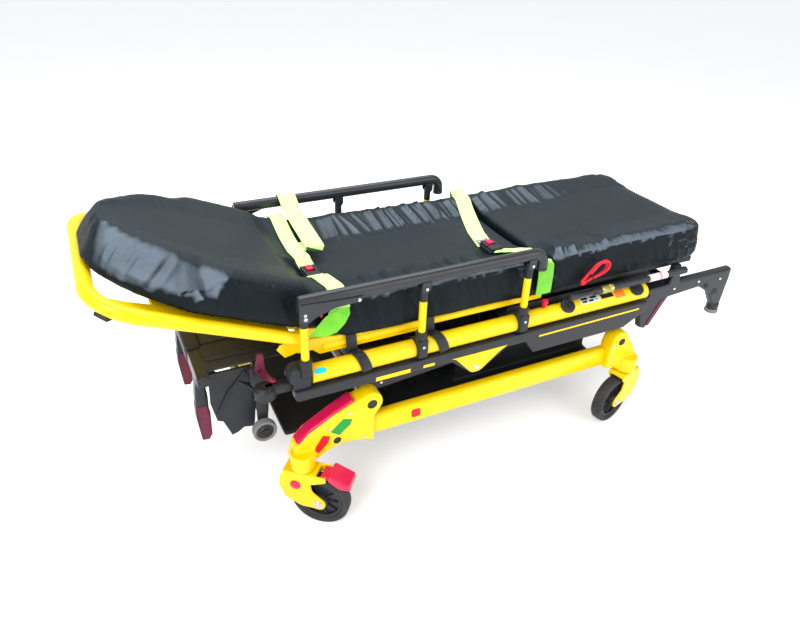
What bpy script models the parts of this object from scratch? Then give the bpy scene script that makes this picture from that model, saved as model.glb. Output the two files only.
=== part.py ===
"""Stretcher trolley with an X-frame lift: four casters, a base, two pairs of crossing legs and a litter.

Frame: metres, +X towards the foot end, +Y towards the far long side, +Z up, floor at z = 0.
"""

import math

import bmesh
import bpy
from mathutils import Matrix, Vector

# Clearances
GAP = 0.0003
RUNNING = 0.0005

# Casters
WHEEL_R = 0.075
WHEEL_W = 0.036
HUB_W = 0.040
AXLE_R = 0.006
TRAIL = 0.045
FORK_PLATE = 0.006
FORK_INSIDE = HUB_W / 2 + 0.001
HEAD_SWIVEL_X = -0.425
FOOT_SWIVEL_X = 0.597
SWIVEL_Y = 0.295
HEAD_TOE = 40.0
FOOT_TOE = 165.0
KNUCKLE_R = 0.031
KNUCKLE_LOW = WHEEL_R * 2 + 0.020
KNUCKLE_TOP = KNUCKLE_LOW + 0.046
CROWN_TOP = WHEEL_R * 2 + 0.0168
CHEEK_TOP = CROWN_TOP - GAP
PEDAL_HINGE_U = 0.057
PEDAL_HINGE_Z = CROWN_TOP - 0.0063
STEM_R = 0.011

# Base
BASE_TUBE_Y = 0.262
BASE_TUBE_W = 0.036
BASE_TUBE_H = 0.062
BASE_TUBE_Z = KNUCKLE_TOP
BASE_HEAD_X = -0.2355
BASE_FOOT_X = 0.5205
CASTING_IN = 0.250
CASTING_OUT = 0.296
BOSS_R = 0.031
FOOT_BOSS_X = FOOT_SWIVEL_X - 0.041
FOOT_BOSS_Z = BASE_TUBE_Z + 0.060
TRAY_Z = BASE_TUBE_Z - 0.028
TRAY_T = 0.018

# Height of the litter's side tubes
LITTER_Z = 0.413

# X-frame
PIVOT_X = -0.243
LEG_SPAN = 0.803
LOWER_Z = BASE_TUBE_Z + 0.089
UPPER_Z = LITTER_Z - 0.038
LEG_H = 0.042
LEG_T = 0.034
OUTER_LEG_Y = 0.215
INNER_LEG_Y = 0.173
SHAFT_R = 0.015
CENTRE_PIN_R = 0.012
LEG_LENGTH = math.hypot(LEG_SPAN, UPPER_Z - LOWER_Z)
LEG_TILT = math.atan2(UPPER_Z - LOWER_Z, LEG_SPAN)
SLIDE_RAIL_Z = LOWER_Z - 0.025

# Litter
LITTER_Y = 0.258
LITTER_TUBE_R = 0.023
LITTER_HEAD_X = -0.384
LITTER_FOOT_X = 0.634
RAIL_IN = 0.254
RAIL_OUT = 0.286
RAIL_TOP = LITTER_Z - LITTER_TUBE_R - 0.0005
RAIL_LOW = LITTER_Z - 0.053
LUG_X = 0.060
LUG_LOW = RAIL_LOW - 0.054
SKIRT_X = 0.225
SKIRT_LOW = RAIL_LOW - 0.042
DECK_LOW = LITTER_Z + 0.037
DECK_TOP = DECK_LOW + 0.0195
DECK_HALF = 0.233
DECK_HEAD_X = -0.345
KNEE_X = 0.290
KNEE_Z = DECK_LOW + 0.011
ARM_Y = 0.250
ARM_T = 0.022
ARM_TIP_X = LITTER_FOOT_X + 0.362
ARM_TOP = LITTER_Z - 0.001
END_BAR_X = LITTER_FOOT_X + 0.146
END_BAR_Z = ARM_TOP - 0.020
END_BAR_R = 0.0125
FOOT_PAD_X = ARM_TIP_X - 0.021
FOOT_PAD_LOW = LITTER_Z - 0.156
FOOT_PAD_TOP = FOOT_PAD_LOW + 0.031
FOOT_PAD_R = 0.019

# Lift cylinder
CYLINDER_R = 0.022
ROD_R = 0.0085
CYLINDER_Y = 0.085
CYLINDER_Z = (LOWER_Z + UPPER_Z) / 2 + 0.002
CYLINDER_HEAD_X = -0.215
CYLINDER_FOOT_X = 0.165
ROD_END_X = 0.575
PUMP_HEAD_X = -0.190
PUMP_NEAR_Y = -0.135
PUMP_FAR_Y = 0.035
PUMP_LOW = CYLINDER_Z - 0.027

# Side rails
SIDE_RAIL_Y = 0.275
SIDE_RAIL_R = 0.0125
SIDE_RAIL_Z = LITTER_Z + 0.207
SIDE_RAIL_HEAD_X = -0.412
SIDE_RAIL_FOOT_X = 0.230
HOOK_LOW = SIDE_RAIL_Z - 0.050
HOOK_BEND = 0.028
POST_X = (-0.400, -0.105, 0.193)
POST_R = 0.0095
POST_LOW = LITTER_Z + 0.0415
POST_TOP = SIDE_RAIL_Z - 0.024
CLAMP_TOP = POST_LOW - 0.011
CLAMP_HALF = 0.016

# Backrest
BACK_X = -0.390
BACK_Z = LITTER_Z + 0.089
BACK_TILT = 23.0
BACK_TUBE_R = 0.015
BACK_Y = 0.246
BACK_LENGTH = 0.455
BACK_CORNER = 0.095
BACK_PANEL_END = 0.330
BACK_PIN_R = 0.006
EAR_IN = 0.212
EAR_OUT = 0.224

# Head section
SLIDE_TUBE_Y = 0.120
SLIDE_TUBE_R = 0.012
SLIDE_TUBE_Z = LITTER_Z + 0.005
SLIDE_TUBE_LENGTH = 0.420
HEAD_PLATE_X = -0.618
LOAD_WHEEL_X = -0.490
LOAD_WHEEL_Z = LITTER_Z - 0.182
LOAD_WHEEL_R = 0.030
LOAD_WHEEL_W = 0.022
LOAD_LEG_IN = 0.178
LOAD_LEG_OUT = 0.187
CROSS_HALF = 0.2005
SAFETY_PIVOT_Z = LITTER_Z - 0.028

# Mattress
PAD_LOW = DECK_TOP + 0.0055
PAD_TOP = PAD_LOW + 0.085
PAD_HALF = 0.255
PAD_SEAT_HEAD_X = -0.320
PAD_FOOT_END_X = 0.866
BACK_PAD_LOW = 0.021
BACK_PAD_TOP = 0.112
BACK_PAD_END = 0.458

# Pole and buckles
POLE_R = 0.011
POLE_Y = 0.279
POLE_Z = LITTER_Z + 0.052
POLE_PIVOT_X = LITTER_FOOT_X + 0.121
POLE_LENGTH = 0.418
BUCKLES = (("head", -0.311, -0.070), ("foot", 0.186, -0.112))
BUCKLE_SIZE = (0.044, 0.058, 0.018)
BUTTON_SIZE = (0.018, 0.022, 0.009)

SIDES = (("near", -1), ("far", 1))

# Lengths are measured from a working origin. The whole object hangs on one empty, moved back by
# this distance, so that its origin ends at the middle of its length.
MIDDLE_X = (ARM_TIP_X + 0.002 + BACK_X - BACK_LENGTH * math.cos(math.radians(BACK_TILT)) - BACK_TUBE_R) / 2


def clear_scene():
    for old in list(bpy.data.objects):
        bpy.data.objects.remove(old, do_unlink=True)


def hang_on_frame():
    """Parents everything that has no parent to the empty that sets the origin."""
    frame = bpy.data.objects.new("frame_origin", None)
    bpy.context.scene.collection.objects.link(frame)
    frame.location = (-MIDDLE_X, 0, 0)
    for thing in bpy.data.objects:
        if thing.parent is None and thing is not frame:
            thing.parent = frame


def paint(name, colour, roughness, metallic=0.0):
    material = bpy.data.materials.new(name)
    material.use_nodes = True
    shader = material.node_tree.nodes["Principled BSDF"]
    shader.inputs["Base Color"].default_value = (*colour, 1.0)
    shader.inputs["Roughness"].default_value = roughness
    shader.inputs["Metallic"].default_value = metallic
    return material


def place(name, mesh_data, at, material=None, tilt=0.0, turn=0.0, parent=None):
    """An object from a bmesh or a shared mesh, with its origin at the given point."""
    if isinstance(mesh_data, bmesh.types.BMesh):
        bmesh.ops.recalc_face_normals(mesh_data, faces=mesh_data.faces)
        mesh = bpy.data.meshes.new(name)
        mesh_data.to_mesh(mesh)
        mesh_data.free()
        mesh.shade_smooth()
        mesh.set_sharp_from_angle(angle=math.radians(35))
    else:
        mesh = mesh_data
    thing = bpy.data.objects.new(name, mesh)
    bpy.context.scene.collection.objects.link(thing)
    thing.location = at
    thing.rotation_euler = (0.0, math.radians(tilt), math.radians(turn))
    thing.parent = parent
    if material and not mesh.materials:
        mesh.materials.append(material)
    return thing


def combine(thing, tool_data, operation="UNION"):
    """Adds or cuts a second shape, given in the same local frame, with an exact Boolean."""
    tool = place(thing.name + "_tool", tool_data, thing.location)
    tool.rotation_euler = thing.rotation_euler
    tool.parent = thing.parent
    tool.hide_render = True
    tool.display_type = "WIRE"
    step = thing.modifiers.new(operation.title(), "BOOLEAN")
    step.operation = operation
    step.object = tool


def block(low, high, bevel=0.0):
    """A box between two corners, its edges rounded where a bevel is given."""
    bm = bmesh.new()
    centre = [(a + b) / 2 for a, b in zip(low, high)]
    size = [abs(b - a) for a, b in zip(low, high)]
    matrix = Matrix.Translation(centre) @ Matrix.Diagonal((*size, 1.0))
    bmesh.ops.create_cube(bm, size=1.0, matrix=matrix)
    if bevel:
        bmesh.ops.bevel(bm, geom=bm.edges[:], offset=bevel, segments=1, affect="EDGES")
    return bm


def rod(axis, centre, radius, length, sides=16):
    """A round bar along X, Y or Z, given by its middle."""
    bm = bmesh.new()
    tipped = {"X": Matrix.Rotation(math.pi / 2, 4, "Y"), "Y": Matrix.Rotation(math.pi / 2, 4, "X")}
    matrix = Matrix.Translation(centre) @ tipped.get(axis, Matrix.Identity(4))
    bmesh.ops.create_cone(
        bm, cap_ends=True, segments=sides, radius1=radius, radius2=radius, depth=length, matrix=matrix
    )
    return bm


def plate(outline, low, high, bevel=0.0):
    """An outline of (x, z) points, extruded along Y from low to high."""
    bm = bmesh.new()
    bottom = bm.faces.new([bm.verts.new((x, low, z)) for x, z in outline])
    moved = bmesh.ops.extrude_face_region(bm, geom=[bottom])["geom"]
    bmesh.ops.translate(
        bm, vec=(0.0, high - low, 0.0), verts=[v for v in moved if isinstance(v, bmesh.types.BMVert)]
    )
    if bevel:
        rims = [e for e in bm.edges if abs(e.verts[0].co.y - e.verts[1].co.y) < 1e-6]
        bmesh.ops.bevel(bm, geom=rims, offset=bevel, segments=1, affect="EDGES")
    return bm


def arc(cx, cz, radius, start, stop, steps):
    """Points of an arc, in degrees from +X towards +Z."""
    angles = [math.radians(start + (stop - start) * i / steps) for i in range(steps + 1)]
    return [(cx + radius * math.cos(a), cz + radius * math.sin(a)) for a in angles]


def turned(profile, steps):
    """A ring or wheel about the Y axis from a closed profile of (radius, y) points."""
    bm = bmesh.new()
    rings = []
    for i in range(steps):
        a = 2 * math.pi * i / steps
        rings.append([bm.verts.new((r * math.cos(a), y, r * math.sin(a))) for r, y in profile])
    for i, ring in enumerate(rings):
        after = rings[(i + 1) % steps]
        for j in range(len(profile)):
            k = (j + 1) % len(profile)
            bm.faces.new((ring[j], ring[k], after[k], after[j]))
    return bm


def bent_tube(points, radius, sides=12):
    """A solid round bar swept along points, with flat ends."""
    bm = bmesh.new()
    rings = []
    for i, point in enumerate(points):
        here = Vector(point)
        before = Vector(points[max(i - 1, 0)])
        after = Vector(points[min(i + 1, len(points) - 1)])
        along = (after - before).normalized()
        across = Vector((0.0, 0.0, 1.0)) if abs(along.z) < 0.99 else Vector((0.0, 1.0, 0.0))
        side = along.cross(across).normalized()
        up = side.cross(along).normalized()
        if abs(along.z) > 0.01 and abs(along.y) < 0.01:
            side = Vector((0.0, 1.0, 0.0))
            up = side.cross(along).normalized()
        turns = [2 * math.pi * k / sides for k in range(sides)]
        rings.append([bm.verts.new(here + (side * math.cos(t) + up * math.sin(t)) * radius) for t in turns])
    for first, second in zip(rings, rings[1:]):
        for k in range(sides):
            n = (k + 1) % sides
            bm.faces.new((first[k], first[n], second[n], second[k]))
    bm.faces.new(rings[0])
    bm.faces.new(rings[-1])
    return bm


def side_span(side, near, far):
    """Low and high Y of a piece that lies between two distances from the centre line."""
    return sorted((side * near, side * far))


# ---- Base ---------------------------------------------------------------------------------


def base_tube(label, side, finish):
    low, high = side_span(side, BASE_TUBE_Y - BASE_TUBE_W / 2, BASE_TUBE_Y + BASE_TUBE_W / 2)
    half = BASE_TUBE_H / 2
    shape = block(
        (BASE_HEAD_X + GAP, low, BASE_TUBE_Z - half), (BASE_FOOT_X - GAP, high, BASE_TUBE_Z + half), 0.007
    )
    return place("base_tube_" + label, shape, (0, 0, 0), finish)


def head_casting(label, side, finish):
    """Arm casting at the head end: leg pivot boss above, swivel knuckle below and outboard."""
    x, z, low_z = HEAD_SWIVEL_X, BASE_TUBE_Z, KNUCKLE_LOW
    outline = [(BASE_HEAD_X, z - 0.032), (BASE_HEAD_X, z + 0.046)]
    outline += arc(PIVOT_X, LOWER_Z, BOSS_R, -40, 120, 8)
    outline += [(x + 0.085, LOWER_Z - 0.003), (x + 0.015, z + 0.046), (x - 0.015, z + 0.014)]
    outline += [(x - 0.027, low_z + 0.020), (x - 0.021, low_z), (x + 0.029, low_z)]
    outline += [(x + 0.057, low_z + 0.018), (x + 0.095, z - 0.013), (x + 0.140, z - 0.016)]
    low, high = side_span(side, CASTING_IN, CASTING_OUT)
    casting = place("casting_head_" + label, plate(outline, low, high, 0.003), (0, 0, 0), finish)
    add_knuckle(casting, HEAD_SWIVEL_X, side)
    return casting


def foot_casting(label, side, finish):
    """Shorter casting at the foot end of the base tube, over the swivel."""
    x, z, low_z = FOOT_SWIVEL_X, BASE_TUBE_Z, KNUCKLE_LOW
    outline = [(BASE_FOOT_X, z - 0.032), (BASE_FOOT_X, z + 0.046)]
    outline += arc(FOOT_BOSS_X, FOOT_BOSS_Z, BOSS_R, 165, 15, 8)
    outline += [(x + 0.013, z + 0.034), (x + 0.033, z - 0.002), (x + 0.031, low_z), (x - 0.031, low_z)]
    outline += [(x - 0.049, z - 0.032)]
    low, high = side_span(side, CASTING_IN, CASTING_OUT)
    casting = place("casting_foot_" + label, plate(outline, low, high, 0.003), (0, 0, 0), finish)
    add_knuckle(casting, FOOT_SWIVEL_X, side)
    return casting


def add_knuckle(casting, swivel_x, side):
    height = KNUCKLE_TOP - KNUCKLE_LOW + 0.0004
    middle = (swivel_x, side * SWIVEL_Y, KNUCKLE_LOW - 0.0004 + height / 2)
    combine(casting, rod("Z", middle, KNUCKLE_R, height, 20))
    bore = rod("Z", (swivel_x, side * SWIVEL_Y, KNUCKLE_LOW + 0.010), STEM_R + RUNNING, 0.032, 16)
    combine(casting, bore, "DIFFERENCE")


def base_cross_tube(finish):
    """Shaft between the head castings, on which the outer legs turn."""
    width = 2 * (CASTING_IN - GAP)
    return place("base_cross_tube", rod("Y", (0, 0, 0), SHAFT_R, width), (PIVOT_X, 0, LOWER_Z), finish)


def base_tray(finish):
    """Belly pan between the base tubes, with the two rails that the inner legs slide on."""
    inside = BASE_TUBE_Y - BASE_TUBE_W / 2 - 0.002
    low, high = TRAY_Z, TRAY_Z + TRAY_T
    wide = block((-0.200, -inside, low), (0.520, inside, high), 0.004)
    tray = place("base_tray", wide, (0, 0, 0), finish)
    combine(tray, block((-0.440, -0.200, low + 0.001), (-0.150, 0.200, high - 0.001), 0.003))
    for _, side in SIDES:
        near, far = side_span(side, INNER_LEG_Y - 0.012, INNER_LEG_Y + 0.012)
        combine(tray, block((0.060, near, low + 0.005), (0.515, far, SLIDE_RAIL_Z)))
    return tray


# ---- Casters ------------------------------------------------------------------------------


def cheek_outline(with_pedal):
    """Side plate of a fork about its stem axis, trailing towards +X, longer where it holds a pedal."""
    top, axle = CHEEK_TOP, WHEEL_R
    cheek = [(-0.036, top), (-0.052, top - 0.0165), (-0.056, top - 0.0485)]
    cheek += [(-0.042, axle + 0.005), (0.000, axle - 0.017)]
    cheek += arc(TRAIL, axle, 0.019, -110, 60, 6)
    cheek += [(0.030, axle + 0.037), (0.026, top - 0.0315)]
    cheek += [(0.066, top - 0.0145), (0.066, top - 0.0005)] if with_pedal else [(0.040, top - 0.0165)]
    cheek += [(0.040, top)]
    return cheek


def fork(name, x, side, toe, with_pedal, finish):
    """Swivel fork: two cheeks joined by a crown, with the stem above and the axle below."""
    at = (x, side * SWIVEL_Y, 0)
    cheek = cheek_outline(with_pedal)
    body = place(name, plate(cheek, FORK_INSIDE, FORK_INSIDE + FORK_PLATE), at, finish, turn=toe)
    combine(body, plate(cheek, -FORK_INSIDE - FORK_PLATE, -FORK_INSIDE))
    outside = FORK_INSIDE + FORK_PLATE - 0.0004
    crown_low = CROWN_TOP - 0.0128
    combine(body, block((-0.046, -outside, crown_low), (0.0395, outside, CROWN_TOP), 0.002))
    combine(body, rod("Z", (0, 0, CROWN_TOP + 0.009), STEM_R, 0.030, 16))
    combine(body, rod("Y", (TRAIL, 0, WHEEL_R), AXLE_R, 2 * (FORK_INSIDE + FORK_PLATE) + 0.006, 12))
    return body


def wheel(name, x, side, toe, finish):
    """Tyre and hub in one, turning on the fork's axle."""
    bore = AXLE_R + RUNNING
    half = WHEEL_W / 2
    web = 0.011
    profile = [(bore, -HUB_W / 2), (0.024, -HUB_W / 2), (0.028, -web), (WHEEL_R - 0.021, -web)]
    profile += [(WHEEL_R - 0.017, -half), (WHEEL_R - 0.006, -half), (WHEEL_R, -half + 0.007)]
    profile += [(r, -y) for r, y in reversed(profile)]
    angle = math.radians(toe)
    at = (x + TRAIL * math.cos(angle), side * SWIVEL_Y + TRAIL * math.sin(angle), WHEEL_R)
    return place(name, turned(profile, 32), at, finish, turn=toe)


def pedal(label, side, toe, finish):
    """Brake pedal, hinged between the cheeks behind the crown of a head caster's fork."""
    tread = [(0.013, 0.0095), (0.019, 0.0175), (0.069, -0.0025), (0.071, -0.0185), (0.043, -0.0205)]
    tread += [(0.015, -0.0020)]
    angle = math.radians(toe)
    at = (
        HEAD_SWIVEL_X + PEDAL_HINGE_U * math.cos(angle),
        side * SWIVEL_Y + PEDAL_HINGE_U * math.sin(angle),
        PEDAL_HINGE_Z,
    )
    body = place("brake_pedal_" + label, plate(tread, -0.027, 0.027, 0.002), at, finish, turn=toe)
    combine(body, block((-0.006, -0.0200, -0.005), (0.022, 0.0200, 0.006)))
    return body


# ---- X-frame ------------------------------------------------------------------------------


def leg_outline():
    """Round-ended bar from its hinge at the origin along +X."""
    half = LEG_H / 2
    return arc(0, 0, half, 90, 270, 10) + arc(LEG_LENGTH, 0, half, -90, 90, 10)


def outer_leg(label, side, finish):
    """Turns on the base shaft at the head end and carries the centre pin."""
    low, high = side_span(side, OUTER_LEG_Y - LEG_T / 2, OUTER_LEG_Y + LEG_T / 2)
    at = (PIVOT_X, 0, LOWER_Z)
    tilt = -math.degrees(LEG_TILT)
    leg = place("outer_leg_" + label, plate(leg_outline(), low, high, 0.003), at, finish, tilt=tilt)
    combine(leg, rod("Y", (0, side * OUTER_LEG_Y, 0), SHAFT_R + RUNNING, 0.06), "DIFFERENCE")
    reach = OUTER_LEG_Y - LEG_T / 2 - INNER_LEG_Y + 0.012
    middle = side * (OUTER_LEG_Y - LEG_T / 2 - reach / 2 + 0.004)
    combine(leg, rod("Y", (LEG_LENGTH / 2, middle, 0), CENTRE_PIN_R, reach + 0.008))
    return leg


def outer_cross_tube(finish):
    """Tie between the outer legs at their sliding end."""
    width = 2 * (OUTER_LEG_Y - LEG_T / 2 - GAP)
    at = (PIVOT_X + LEG_SPAN, 0, UPPER_Z)
    return place("outer_cross_tube", rod("Y", (0, 0, 0), SHAFT_R, width), at, finish)


def inner_leg(label, side, finish):
    """Hangs from the litter shaft at the head end and slides on the base tray at the foot end."""
    low, high = side_span(side, INNER_LEG_Y - LEG_T / 2, INNER_LEG_Y + LEG_T / 2)
    at = (PIVOT_X + LEG_SPAN / 2, 0, (LOWER_Z + UPPER_Z) / 2)
    outline = [(x - LEG_LENGTH / 2, z) for x, z in leg_outline()]
    tilt = math.degrees(LEG_TILT)
    leg = place("inner_leg_" + label, plate(outline, low, high, 0.003), at, finish, tilt=tilt)
    middle = side * INNER_LEG_Y
    combine(leg, rod("Y", (0, middle, 0), CENTRE_PIN_R + RUNNING, 0.06), "DIFFERENCE")
    combine(leg, rod("Y", (-LEG_LENGTH / 2, middle, 0), SHAFT_R + GAP, 0.06), "DIFFERENCE")
    return leg


def inner_cross_tube(finish):
    """Shaft through the inner legs that carries the litter at the head end."""
    width = 2 * (RAIL_IN - RUNNING)
    return place("inner_cross_tube", rod("Y", (0, 0, 0), SHAFT_R, width), (PIVOT_X, 0, UPPER_Z), finish)


def lift_cylinder(finish):
    length = CYLINDER_FOOT_X - CYLINDER_HEAD_X
    middle = ((CYLINDER_FOOT_X + CYLINDER_HEAD_X) / 2, CYLINDER_Y, CYLINDER_Z)
    body = place("lift_cylinder", rod("X", (0, 0, 0), CYLINDER_R, length, 20), middle, finish)
    combine(body, rod("X", (0.007, 0, 0), ROD_R + RUNNING, length, 12), "DIFFERENCE")
    return body


def lift_rod(finish):
    start = CYLINDER_FOOT_X - 0.014
    middle = ((ROD_END_X + start) / 2, CYLINDER_Y, CYLINDER_Z)
    return place("lift_rod", rod("X", (0, 0, 0), ROD_R, ROD_END_X - start, 12), middle, finish)


# ---- Litter -------------------------------------------------------------------------------


def litter_tube(label, side, finish):
    """Main side tube with the three clamps that hold the side rail posts."""
    length = LITTER_FOOT_X - LITTER_HEAD_X
    at = ((LITTER_FOOT_X + LITTER_HEAD_X) / 2, side * LITTER_Y, LITTER_Z)
    tube = place("litter_tube_" + label, rod("X", (0, 0, 0), LITTER_TUBE_R, length, 20), at, finish)
    for x in POST_X:
        head = max(x - CLAMP_HALF, LITTER_HEAD_X + 0.001)
        low = (head - at[0], -0.020, 0.0)
        high = (x + CLAMP_HALF - at[0], 0.020, CLAMP_TOP - LITTER_Z)
        shift = side * (SIDE_RAIL_Y - LITTER_Y - 0.010)
        low = (low[0], low[1] + shift, low[2])
        high = (high[0], high[1] + shift, high[2])
        combine(tube, block(low, high))
    return tube


def litter_rail(label, side, finish):
    """Flat bar under the side tube, with a bracket lug amidships and a deep skirt at the foot end."""
    head, foot = LITTER_HEAD_X - 0.046, LITTER_FOOT_X
    outline = [(head, RAIL_TOP), (head, RAIL_LOW + 0.006), (head + 0.006, RAIL_LOW)]
    outline += [(LUG_X - 0.080, RAIL_LOW), (LUG_X - 0.015, LUG_LOW), (LUG_X + 0.015, LUG_LOW)]
    outline += [(LUG_X + 0.090, RAIL_LOW), (SKIRT_X - 0.015, RAIL_LOW), (SKIRT_X + 0.015, SKIRT_LOW)]
    outline += [(foot - 0.074, SKIRT_LOW), (foot - 0.024, RAIL_LOW - 0.015), (foot, RAIL_LOW)]
    outline += [(foot, RAIL_TOP)]
    low, high = side_span(side, RAIL_IN, RAIL_OUT)
    return place("litter_rail_" + label, plate(outline, low, high, 0.002), (0, 0, 0), finish)


def seat_deck(finish):
    """Deck under the seat, with two ears that hold the backrest pins."""
    low = (DECK_HEAD_X, -DECK_HALF, DECK_LOW)
    high = (KNEE_X - 0.005, DECK_HALF, DECK_TOP)
    deck = place("seat_deck", block(low, high, 0.004), (0, 0, 0), finish)
    for _, side in SIDES:
        near, far = side_span(side, EAR_IN, EAR_OUT)
        top = BACK_Z + 0.014
        ear = [(DECK_HEAD_X + 0.030, DECK_LOW + 0.003), (DECK_HEAD_X + 0.030, DECK_TOP - 0.003)]
        ear += [(DECK_HEAD_X - 0.010, top - 0.004), (BACK_X + 0.010, top), (BACK_X - 0.012, top)]
        ear += [(BACK_X - 0.020, BACK_Z), (BACK_X - 0.012, DECK_LOW + 0.003)]
        combine(deck, plate(ear, near, far))
        pin = rod("Y", (BACK_X, side * (EAR_IN + EAR_OUT) / 2, BACK_Z), BACK_PIN_R + RUNNING, 0.03, 12)
        combine(deck, pin, "DIFFERENCE")
    return deck


def pump_housing(finish):
    """Shell of the hydraulic pump, under the seat deck beside the cylinder."""
    low = (PUMP_HEAD_X, PUMP_NEAR_Y, PUMP_LOW)
    shape = block(low, (CYLINDER_FOOT_X, PUMP_FAR_Y, DECK_LOW - 0.004), 0.012)
    return place("pump_housing", shape, (0, 0, 0), finish)


def end_bar(finish):
    """Cross bar between the foot arms, with the control box in its middle."""
    width = 2 * (ARM_Y - ARM_T / 2 - GAP)
    bar = place("end_bar", rod("Y", (0, 0, 0), END_BAR_R, width), (END_BAR_X, 0, END_BAR_Z), finish)
    combine(bar, block((-0.026, -0.070, -0.020), (0.026, 0.070, 0.020), 0.004))
    return bar


def foot_arm(label, side, finish):
    """Lifting arm at the foot end, with a bumper at its root and a rubber foot under its tip."""
    root, tip, pole, top = LITTER_FOOT_X, ARM_TIP_X, POLE_PIVOT_X, ARM_TOP
    pad_seat = FOOT_PAD_LOW + 0.028
    outline = [(root + 0.0015, top - 0.060), (root + 0.0015, top - 0.004), (pole - 0.020, top)]
    outline += [(pole - 0.012, POLE_Z + 0.006), (pole + 0.012, POLE_Z + 0.006), (pole + 0.022, top)]
    outline += [(tip - 0.036, top), (tip, top + 0.002), (tip + 0.002, top - 0.032), (tip - 0.004, pad_seat)]
    outline += [(tip - 0.036, pad_seat), (tip - 0.071, top - 0.072), (tip - 0.126, top - 0.038)]
    outline += [(root + 0.111, top - 0.046), (root + 0.044, top - 0.142), (root + 0.022, top - 0.134)]
    low, high = side_span(side, ARM_Y - ARM_T / 2, ARM_Y + ARM_T / 2)
    arm = place("foot_arm_" + label, plate(outline, low, high, 0.002), (0, 0, 0), finish)
    pad_middle = (FOOT_PAD_X, side * ARM_Y, (FOOT_PAD_LOW + FOOT_PAD_TOP) / 2)
    combine(arm, rod("Z", pad_middle, FOOT_PAD_R, FOOT_PAD_TOP - FOOT_PAD_LOW, 20))
    pin_low = ARM_Y + ARM_T / 2 - 0.004
    pin_high = POLE_Y - POLE_R - RUNNING
    pin = rod("Y", (POLE_PIVOT_X, side * (pin_low + pin_high) / 2, POLE_Z - 0.003), 0.006, pin_high - pin_low)
    combine(arm, pin)
    return arm


def foot_panel(finish):
    """Deck of the leg section, hinged to the seat deck."""
    at = (KNEE_X, 0, KNEE_Z)
    low = (0.005, -DECK_HALF + 0.008, DECK_LOW - KNEE_Z)
    high = (0.555, DECK_HALF - 0.008, DECK_TOP - KNEE_Z)
    return place("foot_panel", block(low, high, 0.004), at, finish)


def lift_rocker(finish):
    """Rocker that raises or lowers the litter, on top of the control box."""
    at = (END_BAR_X, 0, ARM_TOP + 0.005)
    return place("lift_rocker", block((-0.016, -0.030, -0.0015), (0.016, 0.030, 0.0035), 0.001), at, finish)


# ---- Side rails ---------------------------------------------------------------------------


def side_post(label, side, number, finish):
    length = POST_TOP - POST_LOW
    low, high = -0.003, length + 0.004
    at = (POST_X[number - 1], side * SIDE_RAIL_Y, POST_LOW)
    shape = rod("Z", (0, 0, (low + high) / 2), POST_R, high - low)
    return place(f"rail_post_{label}_{number}", shape, at, finish)


def side_rail(label, side, finish):
    """Top bar, hooked down at its foot end, with a clevis over each post and a gusset at the first."""
    origin = Vector((POST_X[0], side * SIDE_RAIL_Y, POST_TOP))
    path = [(SIDE_RAIL_HEAD_X, 0, SIDE_RAIL_Z)]
    corner = arc(SIDE_RAIL_FOOT_X - HOOK_BEND, SIDE_RAIL_Z - HOOK_BEND, HOOK_BEND, 90, 0, 5)
    path += [(x, 0, z) for x, z in corner]
    path += [(SIDE_RAIL_FOOT_X, 0, HOOK_LOW)]
    local = [(x - origin.x, 0, z - origin.z) for x, _, z in path]
    rail = place("side_rail_" + label, bent_tube(local, SIDE_RAIL_R), origin, finish)
    for x in POST_X:
        for cheek in (-1, 1):
            low, high = side_span(cheek, POST_R + 0.0008, POST_R + 0.0030)
            dx = x - origin.x
            combine(rail, block((dx - 0.011, low, -0.009), (dx + 0.011, high, 0.020)))
    outer = side * (POST_R + 0.0030)
    low, high = sorted((outer, outer - side * 0.0018))
    rise = SIDE_RAIL_Z - POST_TOP
    gusset = [(SIDE_RAIL_HEAD_X - origin.x + 0.001, rise), (0.062, rise), (0.020, -0.012), (-0.010, -0.020)]
    combine(rail, plate(gusset, low, high))
    return rail


# ---- Backrest -----------------------------------------------------------------------------


def backrest_frame(pivot, finish):
    """Tube loop with its panel; the bar past the panel's end is the head hand-hold."""
    straight = BACK_LENGTH - BACK_CORNER
    path = [(0.004, -BACK_Y)]
    path += [(-straight - BACK_CORNER * math.sin(a), -BACK_Y + BACK_CORNER * (1 - math.cos(a)))
             for a in [math.pi / 2 * i / 6 for i in range(7)]]
    path += [(x, -y) for x, y in reversed(path)]
    loop = bent_tube([(x, y, 0.0) for x, y in path], BACK_TUBE_R)
    frame = place("backrest_frame", loop, (0, 0, 0), finish, parent=pivot)
    edge = BACK_Y - BACK_TUBE_R + 0.006
    combine(frame, block((-BACK_PANEL_END, -edge, -0.004), (-0.030, edge, 0.004)))
    for _, side in SIDES:
        inner = EAR_IN - 0.002
        outer = BACK_Y - 0.006
        combine(frame, rod("Y", (0, side * (inner + outer) / 2, 0), BACK_PIN_R, outer - inner, 12))
    return frame


def backrest_handle(pivot, finish):
    """Pull lever under the backrest that releases its gas spring."""
    hinge = (-0.160, -0.172, -0.020)
    outline = [(-0.008, 0.008), (0.008, 0.010), (0.012, -0.004), (-0.004, -0.026), (-0.016, -0.026)]
    return place("backrest_handle", plate(outline, -0.007, 0.007), hinge, finish, parent=pivot)


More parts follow.
